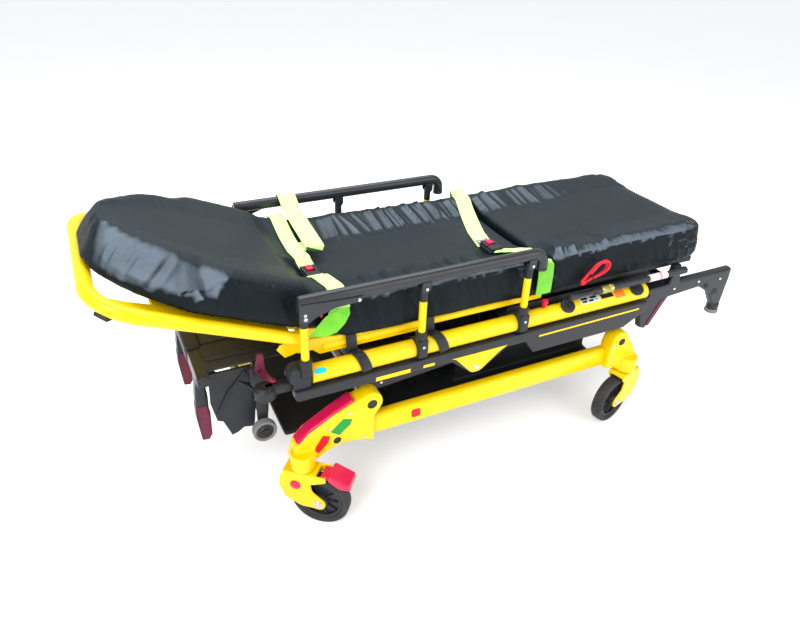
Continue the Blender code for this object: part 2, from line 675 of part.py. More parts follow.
def mattress_back(pivot, finish):
    """Head cushion, tapered to the rounded end of the backrest."""
    bm = bmesh.new()
    plan = [(-0.028, -0.252), (-0.270, -0.252), (-0.372, -0.198), (-0.440, -0.095), (-BACK_PAD_END, 0.0)]
    plan += [(x, -y) for x, y in reversed(plan[:-1])]
    bottom = [bm.verts.new((x, y, BACK_PAD_LOW)) for x, y in plan]
    slant = {0: -0.132, len(plan) - 1: -0.132}
    top = [bm.verts.new((slant.get(i, x * 0.97), y * 0.93, BACK_PAD_TOP)) for i, (x, y) in enumerate(plan)]
    bm.faces.new(bottom)
    bm.faces.new(top)
    for i in range(len(plan)):
        k = (i + 1) % len(plan)
        bm.faces.new((bottom[i], bottom[k], top[k], top[i]))
    return place("mattress_back", bm, (0, 0, 0), finish, parent=pivot)


def mattress_seat(finish):
    shape = block((PAD_SEAT_HEAD_X, -PAD_HALF, PAD_LOW), (KNEE_X - 0.022, PAD_HALF, PAD_TOP), 0.012)
    return place("mattress_seat", shape, (0, 0, 0), finish)


def mattress_foot(finish):
    """Leg cushion, its hinge end leaning back so that the knee can bend."""
    head = KNEE_X + 0.012
    outline = [(head, PAD_LOW), (PAD_FOOT_END_X - 0.010, PAD_LOW), (PAD_FOOT_END_X, PAD_LOW + 0.020)]
    outline += [(PAD_FOOT_END_X, PAD_TOP - 0.015), (PAD_FOOT_END_X - 0.015, PAD_TOP), (head + 0.034, PAD_TOP)]
    local = [(x - KNEE_X, z - KNEE_Z) for x, z in outline]
    return place("mattress_foot", plate(local, -PAD_HALF, PAD_HALF, 0.010), (KNEE_X, 0, KNEE_Z), finish)


# ---- Head section -------------------------------------------------------------------------


def head_frame(finish):
    """Sliding head section: two slide tubes, a head plate, ears for the safety bar, load wheel legs."""
    length = SLIDE_TUBE_LENGTH
    middle_x = HEAD_PLATE_X + length / 2
    z = SLIDE_TUBE_Z
    first = rod("X", (middle_x, -SLIDE_TUBE_Y, z), SLIDE_TUBE_R, length, 12)
    frame = place("head_frame", first, (0, 0, 0), finish)
    combine(frame, rod("X", (middle_x, SLIDE_TUBE_Y, z), SLIDE_TUBE_R, length, 12))
    plate_low = (HEAD_PLATE_X - 0.014, -0.205, z - 0.0125)
    combine(frame, block(plate_low, (HEAD_PLATE_X + 0.014, 0.205, z + 0.020)))
    cross_low = (LOAD_WHEEL_X - 0.012, -CROSS_HALF, z - 0.009)
    combine(frame, block(cross_low, (LOAD_WHEEL_X + 0.012, CROSS_HALF, z + 0.010)))
    for _, side in SIDES:
        low, high = side_span(side, 0.1375, 0.1475)
        ear_low = (HEAD_PLATE_X - 0.012, low, z - 0.047)
        combine(frame, block(ear_low, (HEAD_PLATE_X + 0.012, high, z - 0.003)))
        low, high = side_span(side, LOAD_LEG_IN, LOAD_LEG_OUT)
        leg = [(LOAD_WHEEL_X - 0.011, z - 0.006), (LOAD_WHEEL_X - 0.011, LOAD_WHEEL_Z)]
        leg += arc(LOAD_WHEEL_X, LOAD_WHEEL_Z, 0.013, 200, 340, 6)
        leg += [(LOAD_WHEEL_X + 0.020, LOAD_WHEEL_Z + 0.060), (LOAD_WHEEL_X + 0.0115, z - 0.006)]
        combine(frame, plate(leg, low, high))
        axle_end = LOAD_LEG_OUT + LOAD_WHEEL_W + 0.004
        middle = side * (LOAD_LEG_IN + 0.002 + axle_end) / 2
        stub = rod("Y", (LOAD_WHEEL_X, middle, LOAD_WHEEL_Z), AXLE_R, axle_end - LOAD_LEG_IN - 0.002, 12)
        combine(frame, stub)
    combine(frame, rod("Y", (LOAD_WHEEL_X, -CROSS_HALF - 0.004, z), 0.005, 0.016, 12))
    return frame


def load_wheel(label, side, finish):
    bore = AXLE_R + RUNNING
    half = LOAD_WHEEL_W / 2
    profile = [(bore, -half), (LOAD_WHEEL_R - 0.004, -half), (LOAD_WHEEL_R, -half + 0.004)]
    profile += [(r, -y) for r, y in reversed(profile)]
    at = (LOAD_WHEEL_X, side * (LOAD_LEG_OUT + half + 0.001), LOAD_WHEEL_Z)
    return place("load_wheel_" + label, turned(profile, 24), at, finish)


def safety_bar(finish):
    """Spring-loaded catch bar that hangs under the head plate."""
    at = (HEAD_PLATE_X, 0, SAFETY_PIVOT_Z)
    bar = place("safety_bar", block((-0.010, -0.136, -0.012), (0.010, 0.136, 0.007)), at, finish)
    for _, side in SIDES:
        low, high = side_span(side, 0.106, 0.1355)
        leg = [(-0.0095, 0.004), (0.0095, 0.004), (0.014, -0.060), (0.010, -0.180), (0.002, -0.193)]
        leg += [(-0.012, -0.190), (-0.018, -0.120), (-0.016, -0.060)]
        combine(bar, plate(leg, low, high))
    return bar


def head_release(finish):
    """Lever at the side of the head section that frees its slide."""
    at = (LOAD_WHEEL_X, -0.2070, SLIDE_TUBE_Z)
    outline = [(-0.004, 0.046), (0.010, 0.046), (0.013, 0.000), (0.030, -0.034), (0.024, -0.042)]
    outline += [(0.010, -0.036), (-0.011, 0.000)]
    lever = place("head_release", plate(outline, -0.0045, 0.0045), at, finish)
    combine(lever, rod("Y", (0, 0, 0), 0.0055, 0.03, 12), "DIFFERENCE")
    return lever


# ---- Loose fittings -----------------------------------------------------------------------


def iv_pole(finish):
    """Infusion pole, folded along the near side, on its pivot pin."""
    past_pin = 0.009
    shape = rod("X", ((past_pin - POLE_LENGTH) / 2, 0, 0), POLE_R, POLE_LENGTH + past_pin)
    return place("iv_pole", shape, (POLE_PIVOT_X, -POLE_Y, POLE_Z), finish)


def buckle(label, x, y, shell, red):
    """Strap buckle with a press button that sits in its pocket."""
    sx, sy, sz = [value / 2 for value in BUCKLE_SIZE]
    z = PAD_TOP + GAP + sz
    body = place("buckle_" + label, block((-sx, -sy, -sz), (sx, sy, sz), 0.003), (x, y, z), shell)
    bx, by, bz = BUTTON_SIZE
    room = 2 * RUNNING
    pocket = block((-bx / 2 - room, 0.002, sz - 0.010), (bx / 2 + room, 0.002 + by + 2 * room, sz + 0.01))
    combine(body, pocket, "DIFFERENCE")
    top = z + sz + 0.002
    at = (x, y + 0.002 + room + by / 2, top - bz / 2)
    place("buckle_button_" + label, block((-bx / 2, -by / 2, -bz / 2), (bx / 2, by / 2, bz / 2)), at, red)


def build():
    clear_scene()
    yellow = paint("yellow_paint", (0.95, 0.70, 0.0), 0.35)
    black = paint("black_paint", (0.015, 0.017, 0.019), 0.45)
    plastic = paint("black_plastic", (0.012, 0.014, 0.016), 0.55)
    tyre = paint("tyre_rubber", (0.02, 0.02, 0.022), 0.8)
    steel = paint("bright_steel", (0.60, 0.60, 0.62), 0.3, 1.0)
    crimson = paint("crimson_plastic", (0.85, 0.02, 0.12), 0.4)
    maroon = paint("maroon_plastic", (0.16, 0.02, 0.05), 0.5)
    vinyl = paint("black_vinyl", (0.03, 0.035, 0.04), 0.5)

    for label, side in SIDES:
        base_tube(label, side, yellow)
        head_casting(label, side, yellow)
        foot_casting(label, side, yellow)
        for end, x, toe in (("head", HEAD_SWIVEL_X, HEAD_TOE), ("foot", FOOT_SWIVEL_X, FOOT_TOE)):
            turn = toe * side
            fork(f"fork_{end}_{label}", x, side, turn, end == "head", yellow)
            wheel(f"wheel_{end}_{label}", x, side, turn, tyre)
        pedal(label, side, HEAD_TOE * side, crimson)
        outer_leg(label, side, black)
        inner_leg(label, side, black)
        litter_tube(label, side, yellow)
        litter_rail(label, side, black)
        foot_arm(label, side, black)
        for number in (1, 2, 3):
            side_post(label, side, number, yellow)
        side_rail(label, side, black)
        load_wheel(label, side, tyre)

    base_cross_tube(steel)
    base_tray(plastic)
    outer_cross_tube(black)
    inner_cross_tube(steel)
    lift_cylinder(black)
    lift_rod(steel)
    seat_deck(yellow)
    pump_housing(plastic)
    end_bar(black)
    foot_panel(plastic)
    lift_rocker(crimson)
    head_frame(black)
    safety_bar(maroon)
    head_release(maroon)
    iv_pole(black)
    mattress_seat(vinyl)
    mattress_foot(vinyl)

    pivot = bpy.data.objects.new("backrest_pivot", None)
    bpy.context.scene.collection.objects.link(pivot)
    pivot.location = (BACK_X, 0, BACK_Z)
    pivot.rotation_euler = (0, math.radians(BACK_TILT), 0)
    backrest_frame(pivot, yellow)
    backrest_handle(pivot, yellow)
    mattress_back(pivot, vinyl)

    for label, x, y in BUCKLES:
        buckle(label, x, y, plastic, crimson)
    hang_on_frame()


build()
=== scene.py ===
"""Looks of the stretcher trolley: every visible piece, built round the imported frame, in metres."""

import math
from itertools import pairwise

import bmesh
import bpy
from mathutils import Matrix, Vector, noise


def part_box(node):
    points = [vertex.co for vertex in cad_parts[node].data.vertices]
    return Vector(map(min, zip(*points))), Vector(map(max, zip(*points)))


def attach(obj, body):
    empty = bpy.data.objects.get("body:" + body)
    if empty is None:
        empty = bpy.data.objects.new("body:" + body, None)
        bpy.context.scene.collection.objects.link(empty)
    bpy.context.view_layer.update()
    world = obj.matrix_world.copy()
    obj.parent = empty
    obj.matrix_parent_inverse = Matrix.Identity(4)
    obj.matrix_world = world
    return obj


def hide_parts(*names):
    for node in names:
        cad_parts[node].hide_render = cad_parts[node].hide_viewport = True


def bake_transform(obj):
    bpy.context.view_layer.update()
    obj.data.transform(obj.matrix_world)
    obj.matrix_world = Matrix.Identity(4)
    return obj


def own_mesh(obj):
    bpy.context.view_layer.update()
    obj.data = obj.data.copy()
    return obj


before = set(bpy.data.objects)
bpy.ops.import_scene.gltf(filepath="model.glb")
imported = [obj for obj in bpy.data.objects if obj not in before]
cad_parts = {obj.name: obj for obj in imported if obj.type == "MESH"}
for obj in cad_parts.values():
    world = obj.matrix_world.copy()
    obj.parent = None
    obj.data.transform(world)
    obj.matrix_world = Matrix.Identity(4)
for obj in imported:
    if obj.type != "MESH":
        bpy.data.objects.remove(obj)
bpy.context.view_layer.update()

# ---- Floor, light and camera --------------------------------------------------------------
# The trolley stands on a pale painted studio floor, under a white sky of soft boxes. The camera
# stands at the head end of the near side, a little above the cushions and slightly rolled.


class Value:
    """One output of a finish's nodes; sums and products of it add Math nodes."""

    def __init__(self, finish, socket):
        self.finish = finish
        self.socket = socket

    def maths(self, operation, first, second, clamp=False):
        settings = {"operation": operation, "use_clamp": clamp}
        return self.finish.node("ShaderNodeMath", settings, {0: first, 1: second})

    def __add__(self, other):
        return self.maths("ADD", self, other)

    def __sub__(self, other):
        return self.maths("SUBTRACT", self, other)

    def __mul__(self, other):
        return self.maths("MULTIPLY", self, other)

    def __pow__(self, other):
        return self.maths("POWER", self, other)

    def __rsub__(self, other):
        return self.maths("SUBTRACT", other, self)

    __radd__ = __add__
    __rmul__ = __mul__

    def above(self, level, sharpness):
        """0 below the level and 1 well above it."""
        return self.maths("MULTIPLY", self - level, sharpness, clamp=True)


class Finish:
    """A material made of nodes, with one Principled shader."""

    def __init__(self, name, slot, **sockets):
        self.slot = slot
        self.material = bpy.data.materials.new(name)
        self.material.use_nodes = True
        self.tree = self.material.node_tree
        self.shader = self.tree.nodes["Principled BSDF"]
        for socket, value in sockets.items():
            self.shader.inputs[socket.replace("_", " ")].default_value = value
        self.place = self.node("ShaderNodeTexCoord", output="Object")

    def node(self, kind, settings=None, inputs=None, output=0):
        made = self.tree.nodes.new(kind)
        for name, value in (settings or {}).items():
            setattr(made, name, value)
        for key, value in (inputs or {}).items():
            if isinstance(value, Value):
                self.tree.links.new(value.socket, made.inputs[key])
            else:
                made.inputs[key].default_value = value
        return Value(self, made.outputs[output])

    def noise(self, scale, detail=3, stretch=(1, 1, 1), roughness=0.55):
        where = self.node("ShaderNodeMapping", {}, {"Vector": self.place, "Scale": stretch})
        inputs = {"Vector": where, "Scale": scale, "Detail": detail, "Roughness": roughness}
        return self.node("ShaderNodeTexNoise", {}, inputs)

    def mix(self, factor, first, second):
        inputs = {0: factor, 6: first, 7: second}
        return self.node("ShaderNodeMix", {"data_type": "RGBA"}, inputs, output=2)

    def feed(self, **sockets):
        for socket, value in sockets.items():
            self.tree.links.new(value.socket, self.shader.inputs[socket.replace("_", " ")])

    def bump(self, height, distance, strength=1.0):
        inputs = {"Height": height, "Distance": distance, "Strength": strength}
        self.feed(Normal=self.node("ShaderNodeBump", {}, inputs))


floor_finish = Finish("studio_floor", "", Roughness=0.85, Emission_Color=(0.95, 0.96, 0.97, 1),
    Emission_Strength=0.3)
floor_tone = floor_finish.noise(1.3, 4)
floor_finish.feed(Base_Color=floor_finish.mix(floor_tone, (0.86, 0.86, 0.87, 1), (0.9, 0.9, 0.9, 1)))
floor_mesh = bpy.data.meshes.new("floor")
floor_mesh.from_pydata([(-60, -60, 0), (60, -60, 0), (60, 60, 0), (-60, 60, 0)], [], [(0, 1, 2, 3)])
floor_mesh.materials.append(floor_finish.material)
floor = bpy.data.objects.new("floor", floor_mesh)
bpy.context.scene.collection.objects.link(floor)

world = bpy.data.worlds.new("studio")
bpy.context.scene.world = world
world.use_nodes = True
world.node_tree.nodes["Background"].inputs["Color"].default_value = (0.93, 0.96, 1.0, 1)
world.node_tree.nodes["Background"].inputs["Strength"].default_value = 0.75

for name, spot, aim_at, power, size in (("key", (-2.6, -1.9, 2.6), (-0.3, 0, 0.4), 95, 1.8),
        ("top", (0.2, 0.9, 3.0), (0.0, 0, 0.5), 80, 2.6), ("fill", (1.6, -2.8, 1.5), (0.1, 0, 0.35), 45,
        2.2)):
    lamp_data = bpy.data.lights.new(name, "AREA")
    lamp_data.energy = power
    lamp_data.size = size
    lamp = bpy.data.objects.new(name, lamp_data)
    bpy.context.scene.collection.objects.link(lamp)
    lamp.location = spot
    lamp.rotation_mode = "QUATERNION"
    lamp.rotation_quaternion = (Vector(aim_at) - Vector(spot)).to_track_quat("-Z", "Y")

# Pieces are measured from the working origin of the frame, this far from its middle.
SHIFT = Matrix.Translation((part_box("litter_tube_near")[0][0] + 0.384, 0, 0))

CAMERA_AT = (-0.7673, -1.4543, 1.3603)
CAMERA_TURN, CAMERA_LIFT, CAMERA_ROLL = (math.radians(a) for a in (-27.0147, 31.7653, 2.2969))
back = Vector((math.sin(CAMERA_TURN) * math.cos(CAMERA_LIFT),
    -math.cos(CAMERA_TURN) * math.cos(CAMERA_LIFT), math.sin(CAMERA_LIFT)))
level = (-back).cross(Vector((0, 0, 1))).normalized()
upright = level.cross(-back)
right = level * math.cos(CAMERA_ROLL) + upright * math.sin(CAMERA_ROLL)
top = upright * math.cos(CAMERA_ROLL) - level * math.sin(CAMERA_ROLL)
camera_data = bpy.data.cameras.new("camera")
camera_data.lens = 30.06
camera = bpy.data.objects.new("camera", camera_data)
bpy.context.scene.collection.objects.link(camera)
camera.matrix_world = (SHIFT @ Matrix.Translation(CAMERA_AT) @ Matrix((right, top,
    back)).transposed().to_4x4())
bpy.context.scene.camera = camera

# ---- Base tubes ---------------------------------------------------------------------------
# Two extruded aluminium rails with well rounded edges, powder coated yellow, that join the four
# corner castings. A small plain red marker is stuck on the near one.

SIDES = (("near", -1), ("far", 1))
ALONG = (1, 0, 0)
ACROSS = (0, 1, 0)

yellow = Finish("yellow_powder_coat", "yellow_paint", Coat_Weight=0.12, Coat_Roughness=0.15,
    Specular_IOR_Level=0.28)
yellow_cloud = yellow.noise(5, 4)
yellow_scratch = yellow.noise(30, 9, stretch=(1, 5, 7)).above(0.63, 14)
yellow_chip = yellow.noise(150, 3).above(0.72, 25)
yellow_worn = yellow.mix(yellow_cloud.above(0.3, 2), (0.88, 0.54, 0.0, 1), (0.95, 0.68, 0.0, 1))
yellow_worn = yellow.mix(yellow_scratch * 0.35, yellow_worn, (0.5, 0.27, 0.01, 1))
yellow_worn = yellow.mix(yellow_chip * 0.6, yellow_worn, (0.16, 0.12, 0.06, 1))
yellow.feed(Base_Color=yellow_worn, Roughness=yellow_cloud * 0.14 + yellow_scratch * 0.2 + 0.24)
yellow.bump(yellow.noise(700, 2) * 0.5 - yellow_chip * 0.4, 0.00025, 0.5)


def finish_like(name, slot, dark, light, rough, grain=600, depth=0.0003, **sockets):
    """A moulded or coated finish: two tones in soft clouds, scuffs, and a fine grain."""
    made = Finish(name, slot, **{"Specular_IOR_Level": 0.28, **sockets})
    cloud = made.noise(9, 5)
    scuff = made.noise(45, 8, stretch=(1, 4, 6)).above(0.64, 12)
    dust = made.noise(3.5, 6).above(0.52, 4)
    tone = made.mix(cloud, (*dark, 1), (*light, 1))
    tone = made.mix(scuff * 0.3, tone, (*[min(c * 2.5 + 0.03, 1) for c in light], 1))
    made.feed(Base_Color=tone, Roughness=cloud * 0.16 + scuff * 0.12 + dust * 0.06 + (rough - 0.1))
    made.bump(made.noise(grain, 3), depth, 0.5)
    return made


def rounded(width, height, corner, steps=4):
    """Corner-rounded rectangle as (across, up) points."""
    points = []
    for quarter, (sx, sy) in enumerate(((1, 1), (-1, 1), (-1, -1), (1, -1))):
        for i in range(steps + 1):
            a = math.pi / 2 * (quarter + i / steps)
            points.append((sx * (width / 2 - corner) + corner * math.cos(a),
                sy * (height / 2 - corner) + corner * math.sin(a)))
    return points


def circle(radius, sides=20):
    turns = [2 * math.pi * i / sides for i in range(sides)]
    return [(radius * math.cos(a), radius * math.sin(a)) for a in turns]


def sweep(path, outline, upright=(0, 0, 1), nose=0.001, sizes=None):
    """An (across, up) outline carried along a path, with rounded-off closed ends."""
    path = [Vector(p) for p in path]
    sizes = list(sizes or [1.0] * len(path))
    reach = max(math.hypot(*p) for p in outline)
    if nose:
        for end, inner in ((0, 1), (-1, -2)):
            step = (path[inner] - path[end]).normalized() * nose
            path.insert(1 if end == 0 else len(path) - 1, path[end] + step)
            sizes.insert(1 if end == 0 else len(sizes) - 1, sizes[end])
            sizes[end] *= 1 - nose / reach
    bm = bmesh.new()
    rings = []
    for i, here in enumerate(path):
        along = (path[min(i + 1, len(path) - 1)] - path[max(i - 1, 0)]).normalized()
        across = along.cross(Vector(upright)).normalized()
        up = across.cross(along)
        rings.append([bm.verts.new(here + (across * u + up * v) * sizes[i]) for u, v in outline])
    for first, second in pairwise(rings):
        for k in range(len(outline)):
            n = (k + 1) % len(outline)
            bm.faces.new((first[k], first[n], second[n], second[k]))
    bm.faces.new(rings[0])
    bm.faces.new(rings[-1])
    return bm


def block(size, corner, segments=3):
    """A box round the origin with rounded edges."""
    bm = bmesh.new()
    bmesh.ops.create_cube(bm, size=1.0, matrix=Matrix.Diagonal((*size, 1.0)))
    bmesh.ops.bevel(bm, geom=bm.edges[:], offset=corner, segments=segments, affect="EDGES", profile=0.5)
    return bm


def sheet_of(outline, thickness, corner=0.0008, segments=2):
    """An (x, y) outline of that thickness round z = 0, with rounded rims."""
    bm = bmesh.new()
    lower = bm.faces.new([bm.verts.new((x, y, -thickness / 2)) for x, y in outline])
    lifted = bmesh.ops.extrude_face_region(bm, geom=[lower])["geom"]
    bmesh.ops.translate(bm, vec=(0, 0, thickness), verts=[v
        for v in lifted if isinstance(v, bmesh.types.BMVert)])
    rims = [e for e in bm.edges if abs(e.verts[0].co.z - e.verts[1].co.z) < 1e-7]
    bmesh.ops.bevel(bm, geom=rims, offset=corner, segments=segments, affect="EDGES")
    return bm


def lathe(profile, steps=32, closed=False):
    """(radius, height) points turned round Z; closed joins the last point to the first."""
    bm = bmesh.new()
    rings = []
    for i in range(steps):
        a = 2 * math.pi * i / steps
        rings.append([bm.verts.new((r * math.cos(a), r * math.sin(a), z)) for r, z in profile])
    count = len(profile) if closed else len(profile) - 1
    for i, ring in enumerate(rings):
        after = rings[(i + 1) % steps]
        for j in range(count):
            k = (j + 1) % len(profile)
            bm.faces.new((ring[j], after[j], after[k], ring[k]))
    if not closed:
        bm.faces.new([ring[0] for ring in rings])
        bm.faces.new([ring[-1] for ring in rings])
    return bm


def aim(at, axis=(0, 0, 1), spin=0.0):
    """The place and turn that put a piece's own Z along an axis."""
    turn = Vector(axis).to_track_quat("Z", "Y").to_matrix().to_4x4()
    return Matrix.Translation(at) @ turn @ Matrix.Rotation(math.radians(spin), 4, "Z")


def moved(bm, matrix):
    bmesh.ops.transform(bm, matrix=matrix, verts=bm.verts)
    return bm


def joined(*shapes):
    """Several closed shapes as one mesh."""
    whole = bmesh.new()
    for bm in shapes:
        part = bpy.data.meshes.new("part")
        bm.to_mesh(part)
        bm.free()
        whole.from_mesh(part)
        bpy.data.meshes.remove(part)
    return whole


def put(name, bm, finish, body, replaces=(), shifted=True, smooth_angle=38):
    """Makes the piece, lays its finish on it and lets it ride on its body."""
    bmesh.ops.recalc_face_normals(bm, faces=bm.faces)
    if shifted:
        bmesh.ops.transform(bm, matrix=SHIFT, verts=bm.verts)
    mesh = bpy.data.meshes.new(name)
    bm.to_mesh(mesh)
    bm.free()
    mesh.shade_smooth()
    mesh.set_sharp_from_angle(angle=math.radians(smooth_angle))
    mesh.materials.append(finish.material)
    piece = bpy.data.objects.new(name, mesh)
    bpy.context.scene.collection.objects.link(piece)
    if body:
        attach(piece, body)
    if replaces:
        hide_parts(*replaces)
    return piece


def marker(corners, out=0.0006):
    """A thin plain label over four corners of a nearly flat face."""
    bm = bmesh.new()
    corners = [Vector(c) for c in corners]
    normal = (corners[1] - corners[0]).cross(corners[2] - corners[0]).normalized()
    if normal.y * (corners[0].y or 1) < 0:
        normal = -normal
    lower = [bm.verts.new(c) for c in corners]
    upper = [bm.verts.new(c + normal * out) for c in corners]
    bm.faces.new(lower)
    bm.faces.new(upper)
    for k in range(4):
        n = (k + 1) % 4
        bm.faces.new((lower[k], lower[n], upper[n], upper[k]))
    upright_edges = [e for e in bm.edges if (e.verts[0].co - e.verts[1].co).length <= out * 1.01]
    bmesh.ops.bevel(bm, geom=upright_edges, offset=0.003, segments=3, affect="EDGES")
    return bm


red_label = finish_like("red_label", "label_print", (0.62, 0.0, 0.01), (0.75, 0.01, 0.02), 0.4)

for label, side in SIDES:
    low, high = (Vector(c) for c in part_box("base_tube_" + label))
    middle = (low + high) / 2
    ends = [(x, middle.y, middle.z) for x in (low.x, high.x)]
    rail = sweep(ends, rounded(high.y - low.y, high.z - low.z, 0.0145, 6), nose=0.0008)
    put("base_tube_cover_" + label, rail, yellow, "base", ["base_tube_" + label], shifted=False)

red_corners = [(-0.124, -0.2798, 0.233), (-0.097, -0.2798, 0.232), (-0.096, -0.2798, 0.206),
    (-0.122, -0.2798, 0.206)]
put("red_marker", marker(red_corners), red_label, "base")

# ---- Corner castings ----------------------------------------------------------------------
# Cast aluminium corners, bolted to the base tubes and coated yellow. The head ones carry the
# pivot boss of the legs, a crimson rubbing strip, two plain colour plates and black bung caps.


def cast(node, voxel, passes=3):
    """The solid of a frame node with its edges rounded over, as a casting's are."""
    bm = bmesh.new()
    bm.from_mesh(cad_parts[node].data)
    bmesh.ops.remove_doubles(bm, verts=bm.verts, dist=1e-6)
    mesh = bpy.data.meshes.new("rough_cast")
    bm.to_mesh(mesh)
    bm.free()
    rough = bpy.data.objects.new("rough_cast", mesh)
    bpy.context.scene.collection.objects.link(rough)
    remesh = rough.modifiers.new("even", "REMESH")
    remesh.mode = "VOXEL"
    remesh.voxel_size = voxel
    remesh.adaptivity = voxel * 0.15
    soften = rough.modifiers.new("soften", "SMOOTH")
    soften.factor = 0.5
    soften.iterations = passes
    graph = bpy.context.evaluated_depsgraph_get()
    done = bmesh.new()
    done.from_object(rough, graph)
    bpy.data.objects.remove(rough)
    bpy.data.meshes.remove(mesh)
    return done


plastic = finish_like("black_moulding", "black_plastic", (0.01, 0.012, 0.014), (0.024, 0.027, 0.031),
    0.45)
crimson = finish_like("crimson_moulding", "crimson_plastic", (0.54, 0.003, 0.045), (0.66, 0.008, 0.08),
    0.35, Coat_Weight=0.25)
green_label = finish_like("green_label", "label_print", (0.0, 0.26, 0.04), (0.0, 0.34, 0.06), 0.4)
steel = finish_like("plated_steel", "silver_trim", (0.5, 0.5, 0.52), (0.66, 0.66, 0.68), 0.28,
    Metallic=1.0)


def cast_piece(name, node, voxel, finish, body, passes=3):
    """A casting or moulding with the shape of its frame node, which it replaces."""
    put(name, cast(node, voxel, passes), finish, body, [node], shifted=False)


def on_side(y):
    """Turns an (x, z) outline upright, in the plane at that y."""
    return Matrix.Translation((0, y, 0)) @ Matrix.Rotation(math.pi / 2, 4, "X")


def turned(profile, at, axis, steps=32, closed=False):
    """A lathe profile set at a place along an axis."""
    return moved(lathe(profile, steps, closed), aim(at, axis))


def bung(at, axis, radius):
    """A black plastic cap with a raised rim and a dished face."""
    profile = [(radius, -0.004), (radius, 0.0012), (radius * 0.9, 0.002), (radius * 0.74, 0.0016)]
    profile += [(radius * 0.66, 0.0002), (radius * 0.2, 0.0004)]
    return turned(profile, at, axis, 28)


def screw(at, axis, radius=0.0045):
    """A button-head screw with a hexagon socket."""
    profile = [(radius, -0.003), (radius, 0.0008), (radius * 0.86, 0.002), (radius * 0.5, 0.0026)]
    head = lathe(profile, 18)
    socket = [(radius * 0.46 * math.cos(a), radius * 0.46 * math.sin(a))
        for a in (math.pi / 3 * k for k in range(6))]
    return joined(moved(head, aim(at, axis)), moved(sheet_of(socket, 0.0012, 0.0001, 1),
        aim(Vector(at) + Vector(axis) * 0.0024, axis)))


def washer(at, axis, inner, outer, high=0.002):
    profile = [(inner, -high), (inner, high), (outer * 0.96, high), (outer, high * 0.6), (outer, -high)]
    return turned(profile, at, axis, 28, closed=True)


SHAFT_X = -0.243
SHAFT_Z = 0.305
for label, side in SIDES:
    face = side * 0.2962
    out = (0, side, 0)
    cast_piece("corner_head_" + label, "casting_head_" + label, 0.0028, yellow, "base")
    cast_piece("corner_foot_" + label, "casting_foot_" + label, 0.0028, yellow, "base")
    bores = (((SHAFT_X, face, SHAFT_Z), 0.0135, 0.021, 0.014), ((-0.336, face, 0.222), 0.0105, 0.0165,
        0.011), ((0.556, face, 0.276), 0.012, 0.019, 0.0125))
    rings = [washer(at, out, inner, outer) for at, inner, outer, _ in bores]
    put("corner_rings_" + label, joined(*rings), yellow, "base")
    caps = [bung(at, out, radius) for at, _, _, radius in bores]
    put("corner_caps_" + label, joined(*caps), plastic, "base")
    strip_path = [(-0.29, side * 0.275, 0.329), (-0.34, side * 0.275, 0.302),
        (-0.405, side * 0.275, 0.2655), (-0.434, side * 0.275, 0.238)]
    put("rubbing_strip_" + label, sweep(strip_path, rounded(0.036, 0.01, 0.004), nose=0.003), crimson,
        "base")
    green = [(-0.352, 0.2525), (-0.318, 0.283), (-0.296, 0.274), (-0.301, 0.26), (-0.33, 0.236)]
    red = [(-0.397, 0.21), (-0.372, 0.248), (-0.354, 0.24), (-0.36, 0.22), (-0.384, 0.196)]
    flat = on_side(face + side * 0.0006)
    put("green_plate_" + label, moved(sheet_of(green, 0.0022), flat), green_label, "base")
    put("red_plate_" + label, moved(sheet_of(red, 0.0022), flat), red_label, "base")
    screws = [screw(p, out) for p in ((-0.356, face, 0.262), (-0.304, face, 0.296), (-0.262, face, 0.205),
        (0.535, face, 0.205), (0.528, face, 0.262))]
    put("corner_screws_" + label, joined(*screws), steel, "base")

# ---- Cross shaft and belly pan ------------------------------------------------------------
# A ground steel shaft ties the head castings. The moulded belly pan hangs between the base
# tubes, with stiffening ribs across it and the two channels that the legs run over. Its very dark black
# also stands in for painted shade under the frame.

# A very dark black for the belly pan, which also stands in for the painted shade under the frame.
pan_black_and_painted_shade = finish_like("belly_pan", "black_plastic", (0.006, 0.007, 0.008), (0.013, 0.014, 0.016),
    0.55, grain=300)
shaft_steel = finish_like("ground_shaft", "bright_steel", (0.42, 0.42, 0.44), (0.6, 0.6, 0.62), 0.3,
    Metallic=1.0)


def slab(size, corner, at, segments=3):
    """A box with rounded edges round a place."""
    return moved(block(size, corner, segments), Matrix.Translation(at))


collars = [turned([(0.015, -0.012), (0.0195, -0.012), (0.021, -0.01), (0.021, 0.01), (0.0195, 0.012),
    (0.015, 0.012)], (SHAFT_X, y, SHAFT_Z), ACROSS, 28, closed=True)
    for y in (-0.15, -0.237, 0.15, 0.237)]
shaft = turned([(0.0145, -0.2495), (0.015, -0.249), (0.015, 0.249), (0.0145, 0.2495)],
    (SHAFT_X, 0, SHAFT_Z), ACROSS, 36)
put("cross_shaft", joined(shaft, *collars), shaft_steel, "base", ["base_cross_tube"])
cast_piece("belly_pan", "base_tray", 0.0045, pan_black_and_painted_shade, "base", 2)
ribs = [slab((0.012, 0.3, 0.006), 0.002, (x, 0, 0.2085)) for x in (-0.14, -0.06, 0.02, 0.1, 0.18, 0.26,
    0.34, 0.42)]
put("belly_pan_ribs", joined(*ribs), pan_black_and_painted_shade, "base")

# ---- Casters ------------------------------------------------------------------------------
# Cast yellow forks on swivel stems, each with a 150 mm wheel: a ribbed black rubber tyre on a
# webbed moulded hub. The head pair have a crimson brake pedal and a red cap on the lock's pivot.

